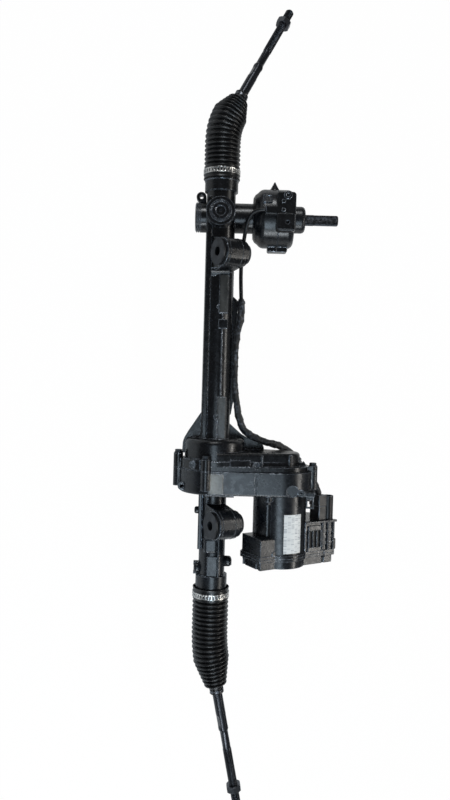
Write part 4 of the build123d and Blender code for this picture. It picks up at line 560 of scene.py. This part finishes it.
def boot(side, ball, outward, rod, lip, crests, taper_start, end_crest):
    """Three lengths of one boot, cut at fold valleys, each a loose piece of its own.
    """
    outward = np.array(outward)
    finish = crests * FOLD_PITCH + ROD_NECK_LENGTH
    cuts = [lip, -FOLD_PITCH, 3 * FOLD_PITCH, finish]
    bodies = [("housing", "rack"), ("rack", f"{side}_seat"), (f"{side}_seat", f"{side}_rod")]
    whole = np.arange(0.0, 1.0 + 1e-9, 1.0 / round((finish - lip) / 0.0005)) * (finish - lip) + lip
    lengths = []
    for index, (start, end) in enumerate(zip(cuts, cuts[1:])):
        along = np.unique(np.concatenate([whole[(whole > start) & (whole < end)], [start, end]]))
        full = np.unique(np.concatenate([whole, along]))
        path, tangent, flat_normal = bent_path(ball, outward, rod, full)
        keep = (full >= start) & (full <= end)
        radius, fold = fold_profile(full[keep], lip, crests, taper_start, end_crest)
        points = ring_surface(path[keep], tangent[keep], flat_normal, radius, AROUND_BOOT)
        faces = grid_faces(len(radius), AROUND_BOOT, closed_columns=True)
        piece = piece_mesh(f"{side}_boot_{'abc'[index]}", points, faces)
        height = piece.data.attributes.new("fold", "FLOAT", "POINT")
        height.data.foreach_set("value", np.repeat(fold, AROUND_BOOT).astype(np.float32))
        wall = piece.modifiers.new("wall", "SOLIDIFY")
        wall.thickness, wall.offset = BOOT_WALL, -1.0
        piece.data.materials.append(boot_rubber)
        lengths.append((piece, path[keep][0], path[keep][-1]))
    for (piece, first, last), (near, far) in zip(lengths, bodies):
        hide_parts(f"{side}_boot")
        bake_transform(piece)


boot("pinion_side", PINION_BALL, (-1.0, 0.0, 0.0), PINION_ROD, PINION_LIP, 8, 0.024, 0.0165)
boot("motor_side", MOTOR_BALL, (1.0, 0.0, 0.0), MOTOR_ROD, MOTOR_LIP, 9, 0.018, 0.0175)

# ---- Boot bands --------------------------------------------------------------------------------------
# Stainless strip, one round each cuff, which it pulls on to the casting's neck. Slots are punched nearly all
# the way round it, and a short plain stretch takes the overlap.
BAND_RADIUS = 0.0286
BAND_WIDTH = 0.0087
BAND_THICKNESS = 0.0008
SLOT_PITCH = 5
SLOT_CELLS = 2
OVERLAP_CELLS = 24
band_steel, shader = principled("band_steel", (0.55, 0.54, 0.52), 0.28, 1.0)
grain(band_steel, shader, 900.0, 0.0001, 0.2)


def punched_band(middle_x, around=180):
    """Ring of (x, angle) cells about the rack axis; the middle row leaves out two cells in five as slots.

    point = (x, axis_y + r cos a, axis_z + r sin a), with r raised a little at both edges.
    """
    x = np.array([-0.5, -0.44, -0.26, 0.26, 0.44, 0.5]) * BAND_WIDTH
    r = BAND_RADIUS + np.array([0.0002, 0.0, 0.0, 0.0, 0.0, 0.0002])
    angle = np.linspace(0.0, 2 * np.pi, around, endpoint=False)
    points = np.stack([
        np.broadcast_to((middle_x + x)[:, None], (6, around)),
        RACK_Y + r[:, None] * np.cos(angle), RACK_Z + r[:, None] * np.sin(angle)], axis=-1)
    faces = grid_faces(6, around, closed_columns=True).reshape(5, around, 4)
    punched = (np.arange(around) % SLOT_PITCH) < SLOT_CELLS
    plain = np.arange(around) > around - OVERLAP_CELLS
    return points, np.concatenate([faces[[0, 1, 3, 4]].reshape(-1, 4), faces[2][~punched | plain]])


for name, middle_x in (("pinion_side_band", -0.133), ("motor_side_band", 0.538)):
    points, faces = punched_band(middle_x)
    band = piece_mesh(name, points, faces)
    band.data.materials.append(band_steel)
    wall = band.modifiers.new("wall", "SOLIDIFY")
    wall.thickness, wall.offset = BAND_THICKNESS, 1.0
    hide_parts("boot_clamps")
    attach(band, "housing")

# ---- Tie rods ----------------------------------------------------------------------------------------
# Forged steel rods. Each has its ball, a slim neck, a shank with two spanner flats, and at its tip a rolled
# M14 x 1.5 thread for the outer joint, which is a real helix.
BALL_RADIUS = 0.014
ROD_NECK = 0.0065
SHANK = 0.008
FLAT_HALF_WIDTH = 0.0062
THREAD_LENGTH = 0.095
THREAD_RADIUS = 0.007
THREAD_PITCH = 0.0015
THREAD_DEPTH = 0.0009


def rod_surface(length, around=72):
    """Turned profile with flats and a thread, along +x from the ball centre.

    radius = profile(x); on the thread it is 7 mm - depth × |triangle wave of (x / pitch - angle / 2π)|;
    on the flats the y of each point is held within the flats' half width.
    """
    thread = length - THREAD_LENGTH
    ball = np.radians(np.linspace(180.0, np.degrees(np.arcsin(ROD_NECK / BALL_RADIUS)), 40))
    steps = np.linspace(0, 6, 61)
    shank_x = [0.034, 0.044, *(thread - np.array([0.064, 0.0585, 0.0375, 0.034, 0.030]))]
    shank_r = [ROD_NECK, SHANK, SHANK, SHANK, SHANK, SHANK, ROD_NECK]
    fine = np.arange(thread + 0.0002, length - 0.0022, THREAD_PITCH / 8)
    x = np.concatenate([BALL_RADIUS * np.cos(ball), np.interp(steps, np.arange(7), shank_x),
                        [thread - 0.002, thread], fine, [length - 0.002, length - 0.0002, length]])
    r = np.concatenate([BALL_RADIUS * np.sin(ball), np.interp(steps, np.arange(7), shank_r),
                        [ROD_NECK, 0.0066], np.full(len(fine), THREAD_RADIUS), [0.0061, 0.0049, 0.0]])
    angle = np.linspace(0.0, 2 * np.pi, around, endpoint=False)
    threaded = ((x > thread) & (x < length - 0.0021))[:, None]
    phase = x[:, None] / THREAD_PITCH - angle[None, :] / (2 * np.pi)
    wave = np.abs(2 * (phase - np.floor(phase)) - 1.0)
    fade = np.clip((x - thread) / 0.004, 0.0, 1.0)[:, None]
    radius = r[:, None] - threaded * fade * THREAD_DEPTH * np.clip(wave * 1.25 - 0.125, 0.0, 1.0)
    y, z = radius * np.cos(angle), radius * np.sin(angle)
    flats = (x > thread - 0.0581) & (x < thread - 0.0379)
    y = np.where(flats[:, None], np.clip(y, -FLAT_HALF_WIDTH, FLAT_HALF_WIDTH), y)
    return np.stack([np.broadcast_to(x[:, None], y.shape), y, z], axis=-1)


def along_rod(points, ball, rod):
    """Turns a shape made along +x so that it points along the rod from its ball."""
    side = np.cross([0.0, 0.0, 1.0], rod)
    side /= np.linalg.norm(side)
    return ball + points @ np.stack([rod, side, np.cross(rod, side)])


for side, ball, rod, length in (("pinion_side", PINION_BALL, PINION_ROD, 0.262),
                                ("motor_side", MOTOR_BALL, MOTOR_ROD, 0.266)):
    surface = along_rod(rod_surface(length), ball, rod)
    faces = grid_faces(*surface.shape[:2], closed_columns=True)
    piece = piece_mesh(f"{side}_rod_shape", surface, faces)
    piece.data.materials.append(rod_steel)
    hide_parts(f"{side}_tie_rod")
    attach(piece, f"{side}_rod")

# ---- Input shaft -------------------------------------------------------------------------------------
# The steering column's joint clamps on this hollow steel shaft. It is splined from the dust collar to its tip
# and is a little slimmer past the first quarter of the splines.
SPLINE_START = 0.1372
SPLINE_COUNT = 48
PINION_W = -0.01725775


def input_surface(around=SPLINE_COUNT * 6):
    """Shaft along the tower. radius = profile(t); splines take |cos|-shaped flutes 0.5 mm deep out of it."""
    t = [0.056, 0.056, 0.1366, *np.linspace(SPLINE_START, 0.1498, 14), *np.linspace(0.1502, 0.187, 24)]
    r = [0.0033, 0.0088, 0.0088] + [0.0088] * 14 + [0.0085] * 24
    t = np.array(t + [0.188, 0.1893, 0.1895, 0.1895, 0.178, 0.178])
    r = np.array(r + [0.0085, 0.0072, 0.0070, 0.0033, 0.0033, 0.0])
    angle = np.linspace(0.0, 2 * np.pi, around, endpoint=False)
    cut = np.clip((t - SPLINE_START) / 0.002, 0.0, 1.0) * (t < 0.1886) * (r > 0.005)
    radius = r[:, None] - 0.0005 * cut[:, None] * (0.5 + 0.5 * np.cos(SPLINE_COUNT * angle))[None, :]
    centre = tower_point(PINION_X, 0.0, PINION_W)
    spokes = np.cos(angle)[:, None] * np.array([1.0, 0.0, 0.0]) + np.sin(angle)[:, None] * UP_TOWER
    return centre + t[:, None, None] * ALONG_TOWER + radius[:, :, None] * spokes


surface = input_surface()
inward_faces = grid_faces(*surface.shape[:2], closed_columns=True)
shaft = piece_mesh("splined_shaft", surface, inward_faces[:, ::-1])
shaft_steel, shader = principled("shaft_steel", (0.035, 0.036, 0.04), 0.42, 0.7)
blotches = noise_on(shaft_steel, 260.0, 4.0)
mottle(shaft_steel, shader, blotches, 0.4, 0.68, (0.018, 0.019, 0.021), (0.1, 0.1, 0.11))
grain(shaft_steel, shader, 700.0, 0.0001, 0.4, 3.0)
shaft.data.materials.append(shaft_steel)
edge = shaft.modifiers.new("edges", "EDGE_SPLIT")
edge.split_angle = np.radians(35.0)
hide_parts("input_shaft")
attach(shaft, "input_shaft")

# ---- Sensor harness ----------------------------------------------------------------------------------
# A bare sheathed cable leaves the sensor unit. It soon runs into a thicker length wound in cloth tape, which
# follows the casting down to the control unit's plug.
CURVE_STEPS = 24


def spline_points(name, points):
    """Points along a smooth NURBS spline with the route's points as its control points."""
    curve = bpy.data.curves.new(name, "CURVE")
    curve.dimensions = "3D"
    curve.resolution_u = CURVE_STEPS
    spline = curve.splines.new("NURBS")
    spline.points.add(len(points) - 1)
    spline.points.foreach_set("co", np.concatenate([points, np.ones((len(points), 1))], axis=1).ravel())
    spline.order_u = 3
    spline.use_endpoint_u = True
    holder = bpy.data.objects.new(name, curve)
    bpy.context.scene.collection.objects.link(holder)
    mesh = bpy.data.meshes.new_from_object(holder)
    line = np.zeros(len(mesh.vertices) * 3)
    mesh.vertices.foreach_get("co", line)
    bpy.data.objects.remove(holder)
    bpy.data.curves.remove(curve)
    bpy.data.meshes.remove(mesh)
    return line.reshape(-1, 3)


def evenly(line, step):
    """The same line read off at even distances along it."""
    run = np.concatenate([[0.0], np.cumsum(np.linalg.norm(np.diff(line, axis=0), axis=1))])
    at = np.linspace(0.0, run[-1], max(int(run[-1] / step), 2))
    return np.stack([np.interp(at, run, line[:, axis]) for axis in range(3)], axis=1), at


def tube_surface(line, radius):
    """Tube round a line: point = line + radius(s, a) (cos a · side + sin a · over).

    side is square to the line and to Z, and over is square to both line and side.
    """
    tangent = np.gradient(line, axis=0)
    tangent /= np.linalg.norm(tangent, axis=1)[:, None]
    side = np.cross(tangent, (0.0, 0.0, 1.0))
    side /= np.linalg.norm(side, axis=1)[:, None]
    over = np.cross(tangent, side)
    angle = np.linspace(0.0, 2 * np.pi, radius.shape[1], endpoint=False)
    spokes = np.cos(angle)[:, None] * side[:, None, :] + np.sin(angle)[:, None] * over[:, None, :]
    return line[:, None, :] + radius[:, :, None] * spokes


CABLE_ROUTE = [(-70.3, 71.5, 33.6), (-69.8, 60, 32.5), (-66.5, 51, 29.5), (-57, 44, 25), (-44, 40.5, 19.5)]
CABLE_ROUTE += [(-27, 37.8, 13), (-7, 35.8, 9), (16, 34.4, 6), (41, 34.6, 4), (70, 36.2, 3)]
SLEEVE_ROUTE = [(66.4, 36, 3), (84, 37, 3), (101, 35.4, 3), (117, 32.6, 3), (133, 30.6, 3), (149, 29.4, 3)]
SLEEVE_ROUTE += [(181, 29.2, 3), (197, 29.4, 3), (213, 30.4, 3), (229, 32.4, 2.8), (245, 35.2, 1.8)]
SLEEVE_ROUTE += [(261, 38.6, -1), (270, 42, -3.8), (277.5, 47.5, -6), (285, 56, -8.8), (290.6, 67, -10.5)]
SLEEVE_ROUTE += [(295.3, 81, -12.4), (299.6, 95, -18), (302.5, 106, -27), (309, 117.5, -37)]
SLEEVE_ROUTE += [(319, 128.5, -44.5), (331, 139, -48), (344, 150, -45), (356, 160, -37), (367, 166.5, -26)]
SLEEVE_ROUTE += [(381, 170.5, -12.5)]
CABLE_RADIUS = 0.0031
TAPE_PITCH = 0.0145
AROUND_CABLE, AROUND_SLEEVE = 20, 36


def route_points(route):
    """Route points in metres from millimetres in the tower frame."""
    x, t, w = np.array(route).T / 1000.0
    return np.stack([tower_point(a, b, c) for a, b, c in zip(x, t, w)])


cable_line, run = evenly(spline_points("cable_line", route_points(CABLE_ROUTE)), 0.0012)
closed = np.clip(np.minimum(run, run[-1] - run) / 0.0004, 0.0, 1.0)
radius = np.repeat(CABLE_RADIUS * closed[:, None], AROUND_CABLE, axis=1)
faces = grid_faces(len(cable_line), AROUND_CABLE, closed_columns=True)
cable = piece_mesh("sensor_cable_shape", tube_surface(cable_line, radius), faces)
cable.data.materials.append(moulding)
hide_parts("sensor_cable")
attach(cable, "housing")

sleeve_line, run = evenly(spline_points("sleeve_line", route_points(SLEEVE_ROUTE)), 0.0007)
angle = np.linspace(0.0, 2 * np.pi, AROUND_SLEEVE, endpoint=False)
wrap = (run[:, None] / TAPE_PITCH - angle / (2 * np.pi)) % 1.0
rng = np.random.default_rng(7)
crinkle = np.zeros(wrap.shape)
for wave in range(14):
    along, turns, start = rng.uniform(0.0022, 0.009), rng.integers(0, 5), rng.uniform(0.0, 2 * np.pi)
    crinkle += np.sin(run[:, None] / along + turns * angle + start)
thickness_x = [0.06, 0.1, 0.117, 0.149, 0.197, 0.225, 0.25, 0.4]
thickness = [0.0062, 0.0062, 0.005, 0.0047, 0.0047, 0.0052, 0.0058, 0.0058]
half = np.interp(sleeve_line[:, 0], thickness_x, thickness)[:, None]
radius = half - 0.0003 + 0.0007 * wrap ** 3 + 0.00016 * crinkle
radius *= np.interp(np.minimum(run, run[-1] - run), [0.0, 0.0005, 0.006], [0.0, 0.62, 1.0])[:, None]
faces = grid_faces(len(run), AROUND_SLEEVE, closed_columns=True)
sleeve = piece_mesh("taped_sleeve", tube_surface(sleeve_line, radius), faces)
wraps = sleeve.data.attributes.new("wrap", "FLOAT", "POINT")
wraps.data.foreach_set("value", wrap.ravel().astype(np.float32))
tape, shader = principled("cloth_tape", (0.006, 0.006, 0.007), 0.5)
shader.inputs["Sheen Weight"].default_value = 0.1
shader.inputs["Sheen Roughness"].default_value = 0.5
links = tape.node_tree.links
# Bluish-grey flecks mottled on the black tape are painted highlights on its crinkles.
mottle(tape, shader, noise_on(tape, 200.0, 6.0), 0.52, 0.7, (0.004, 0.004, 0.005), (0.09, 0.1, 0.12))
weave = tape.node_tree.nodes.new("ShaderNodeTexVoronoi")
weave.inputs["Scale"].default_value = 1300.0
place = tape.node_tree.nodes.new("ShaderNodeTexCoord")
links.new(place.outputs["Object"], weave.inputs["Vector"])
links.new(bump_on(tape, weave.outputs["Distance"], 0.0003, 0.6), shader.inputs["Normal"])
sleeve.data.materials.append(tape)
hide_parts("harness_sleeve")
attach(sleeve, "housing")

# ---- Control unit ribs -------------------------------------------------------------------------------
# The control unit's body is stiffened on its top face by a lip along its front edge, three ribs down the
# outer side, and a pad with three deep slots beside the motor. All are cast in one with it, but the slots'
# floor is matt black rubber, as painted shade.
UNIT_FACE = 0.045
UNIT_EDGE = 0.0008


def bar_surface(low, high, edge):
    """Bar between two corners, closed at both ends, with every edge rounded.

    Ring = corner centres + (edge - drawn) (cos a, sin a). Towards each end, drawn = edge (1 - sin b) while
    the ring moves edge (1 - cos b) in from the end face, and the end face closes in its middle.
    """
    low, high = np.array(low), np.array(high)
    b = np.linspace(0.0, np.pi / 2, 4)
    drawn = np.concatenate([edge * (1 - np.sin(b)), edge * (1 - np.sin(b[::-1]))])
    step_in = edge * (1 - np.cos(b))
    x = np.concatenate([low[0] + step_in, high[0] - step_in[::-1]])
    a = np.repeat(np.arange(4), 4) * np.pi / 2 + np.tile(np.linspace(0.0, np.pi / 2, 4), 4)
    quarter = np.repeat(np.arange(4), 4) * np.pi / 2 + np.pi / 4
    half = 0.5 * (high[1:] - low[1:]) - edge
    middle = 0.5 * (high[1:] + low[1:])
    across = middle[0] + np.sign(np.cos(quarter)) * half[0] + (edge - drawn)[:, None] * np.cos(a)
    up = middle[1] + np.sign(np.sin(quarter)) * half[1] + (edge - drawn)[:, None] * np.sin(a)
    rings = np.stack([np.broadcast_to(x[:, None], across.shape), across, up], axis=-1)
    first = np.broadcast_to([low[0], *middle], (1, 16, 3))
    last = np.broadcast_to([high[0], *middle], (1, 16, 3))
    return np.concatenate([first, rings, last])


def in_tower(points):
    """Points given as (x, t, w) in the tower frame, in world coordinates."""
    return tower_point(0.0, 0.0, 0.0) + points @ np.stack([[1.0, 0.0, 0.0], ALONG_TOWER, UP_TOWER])


def cast_on(name, points, material=gear_coat, smooth=False, ring=False):
    """Closed grid surface, or ring, that belongs to a casting and rides on the housing."""
    faces = grid_faces(*points.shape[:2], closed_rows=ring, closed_columns=True)
    piece = piece_mesh(name, points, faces, smooth)
    piece.data.materials.append(material)
    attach(piece, "housing")


def on_unit(name, low, high, depth, height, edge):
    """Bar on the unit's top face: its corners in x and y, how deep it is let in and how high it stands."""
    cast_on(name, bar_surface((*low, UNIT_FACE - depth), (*high, UNIT_FACE + height), edge))


on_unit("unit_lip", (0.418, 0.1222), (0.4214, 0.1845), 0.004, 0.0024, UNIT_EDGE)
for number, y in enumerate((0.1555, 0.1665, 0.1775)):
    on_unit(f"unit_rib_{number}", (0.4205, y - 0.0019), (0.4655, y + 0.0019), 0.002, 0.0032, 0.0012)
on_unit("unit_slot_head", (0.4243, 0.1272), (0.4325, 0.1526), 0.002, 0.0024, UNIT_EDGE)
on_unit("unit_slot_foot", (0.4585, 0.1262), (0.4655, 0.1536), 0.002, 0.0024, UNIT_EDGE)
for number, y in enumerate((0.1280, 0.1360, 0.1440, 0.1518)):
    on_unit(f"unit_slot_wall_{number}", (0.4318, y - 0.0012), (0.4592, y + 0.0012), 0.002, 0.0032, 0.0006)
# The slots' floor is a sheet of matt black rubber: painted shade at the bottom of the slots.
dark_slot_fill = bar_surface((0.4318, 0.1280, UNIT_FACE - 0.001), (0.4592, 0.1518, UNIT_FACE + 0.0009), 0.0004)
cast_on("unit_slot_painted_shade", dark_slot_fill, rubber)
cast_on("unit_side_lug", bar_surface((0.449, 0.179, 0.028), (0.4665, 0.1857, 0.0438), 0.0016))

# ---- Lower tube pads and bosses ----------------------------------------------------------------------
# Below the bush eye the lower casting has a raised shoulder, a flat with a rib beside it, and three round
# bosses that stand out sideways. They are cast in one with it.
cast_on("tube_shoulder", in_tower(bar_surface((0.4455, -0.0128, 0.0155), (0.4700, 0.0088, 0.0256), 0.0042)))
cast_on("tube_flat", in_tower(bar_surface((0.4748, -0.0074, 0.0165), (0.5068, 0.0088, 0.0221), 0.0009)))
cast_on("tube_rib", in_tower(bar_surface((0.4455, 0.0090, 0.0150), (0.5068, 0.0119, 0.0234), 0.0010)))


def turned_surface(base, axis, side, along, radius, around=48):
    """Turned shape: point = base + along · axis + radius (cos a · side + sin a · (axis × side))."""
    axis, side = np.array(axis), np.array(side)
    angle = np.linspace(0.0, 2 * np.pi, around, endpoint=False)
    spokes = np.cos(angle)[:, None] * side + np.sin(angle)[:, None] * np.cross(axis, side)
    return base + np.array(along)[:, None, None] * axis + np.array(radius)[:, None, None] * spokes


def boss(name, x, t, w, outward, radius, length):
    """Round boss on the side of the tube, its rim rounded off like a cap."""
    turn = np.linspace(0.0, np.pi / 2, 9)
    soft = 0.55 * radius
    along = [0.0, 0.0, *(length - soft + soft * np.sin(turn)), length]
    profile = [0.0, radius, *(radius - soft + soft * np.cos(turn)), 0.0]
    place = tower_point(x, t, w)
    cast_on(name, turned_surface(place, outward * ALONG_TOWER, (1.0, 0.0, 0.0), along, profile), smooth=True)


boss("knob_cap", 0.4045, -0.0175, 0.008, -1.0, 0.0056, 0.0118)
boss("fork_cap", 0.4965, -0.0155, 0.004, -1.0, 0.0086, 0.0128)
boss("nipple_cap", 0.4865, 0.0165, 0.0, 1.0, 0.0084, 0.0150)

# ---- Bush eyes ---------------------------------------------------------------------------------------
# Each eye is cast with two raised lips at its near end and one further on, round the bore for the bush. A
# fillet runs from the first eye's arm down on to the tube's ribs.
LIP_BORE = 0.0195
FILLET_ROOT = 0.006

for number, x in enumerate((0.0, 0.42)):
    for end, y, radius in (("near", -0.0195, 0.0226), ("near_inner", -0.0158, 0.0230),
                           ("far", 0.0065, 0.0229)):
        along = [0.0, 0.0, 0.0004, 0.0010, 0.0016, 0.0020, 0.0020]
        edge = [radius - 0.0016, radius - 0.0003]
        profile = [LIP_BORE, *edge, radius, *edge[::-1], LIP_BORE]
        lip = turned_surface(np.array([x, y, 0.0]), (0.0, 1.0, 0.0), (1.0, 0.0, 0.0), along, profile, 96)
        cast_on(f"eye_{number}_{end}_lip", lip, (rack_coat, gear_coat)[number], smooth=True, ring=True)


def arm_fillet(x, t_from, t_to, top, foot, reach):
    """Fillet between arm and ribs: quarter arc from (x, top) to (x + reach, foot), closed through the metal.

    Rows run across the tower from t_from to t_to, and the two ends close in their middle.
    """
    a = np.linspace(0.0, np.pi / 2, 14)
    out_x = np.concatenate([x + reach * (1 - np.cos(a)), [x + reach, x]])
    out_w = np.concatenate([top - (top - foot) * np.sin(a), [foot - FILLET_ROOT, foot - FILLET_ROOT]])
    t = np.array([t_from, t_from, t_to, t_to])
    size = np.array([0.0, 1.0, 1.0, 0.0])[:, None]
    rows_x = out_x.mean() + size * (out_x - out_x.mean())
    rows_w = out_w.mean() + size * (out_w - out_w.mean())
    return in_tower(np.stack([rows_x, np.broadcast_to(t[:, None], rows_x.shape), rows_w], axis=-1))


cast_on("arm_fillet", arm_fillet(0.0225, -0.0130, 0.0165, 0.0345, 0.0225, 0.0115), rack_coat)

# ---- Sensor drum point -------------------------------------------------------------------------------
# A blunt cone is cast on the rim of the sensor's drum, where it stands out like a pointer towards the boot.
# It has the same coat as the drum.
POINT_ALONG = [0.0, 0.0, 0.004, 0.009, 0.0135, 0.0158, 0.0165]
POINT_RADIUS = [0.0, 0.0105, 0.0078, 0.0048, 0.0024, 0.0012, 0.0]
point_base = tower_point(-0.1075, 0.0858, PINION_W + 0.004)
point = turned_surface(point_base, (-1.0, 0.0, 0.0), ALONG_TOWER, POINT_ALONG, POINT_RADIUS)
cast_on("drum_point", point, sensor_coat, smooth=True)
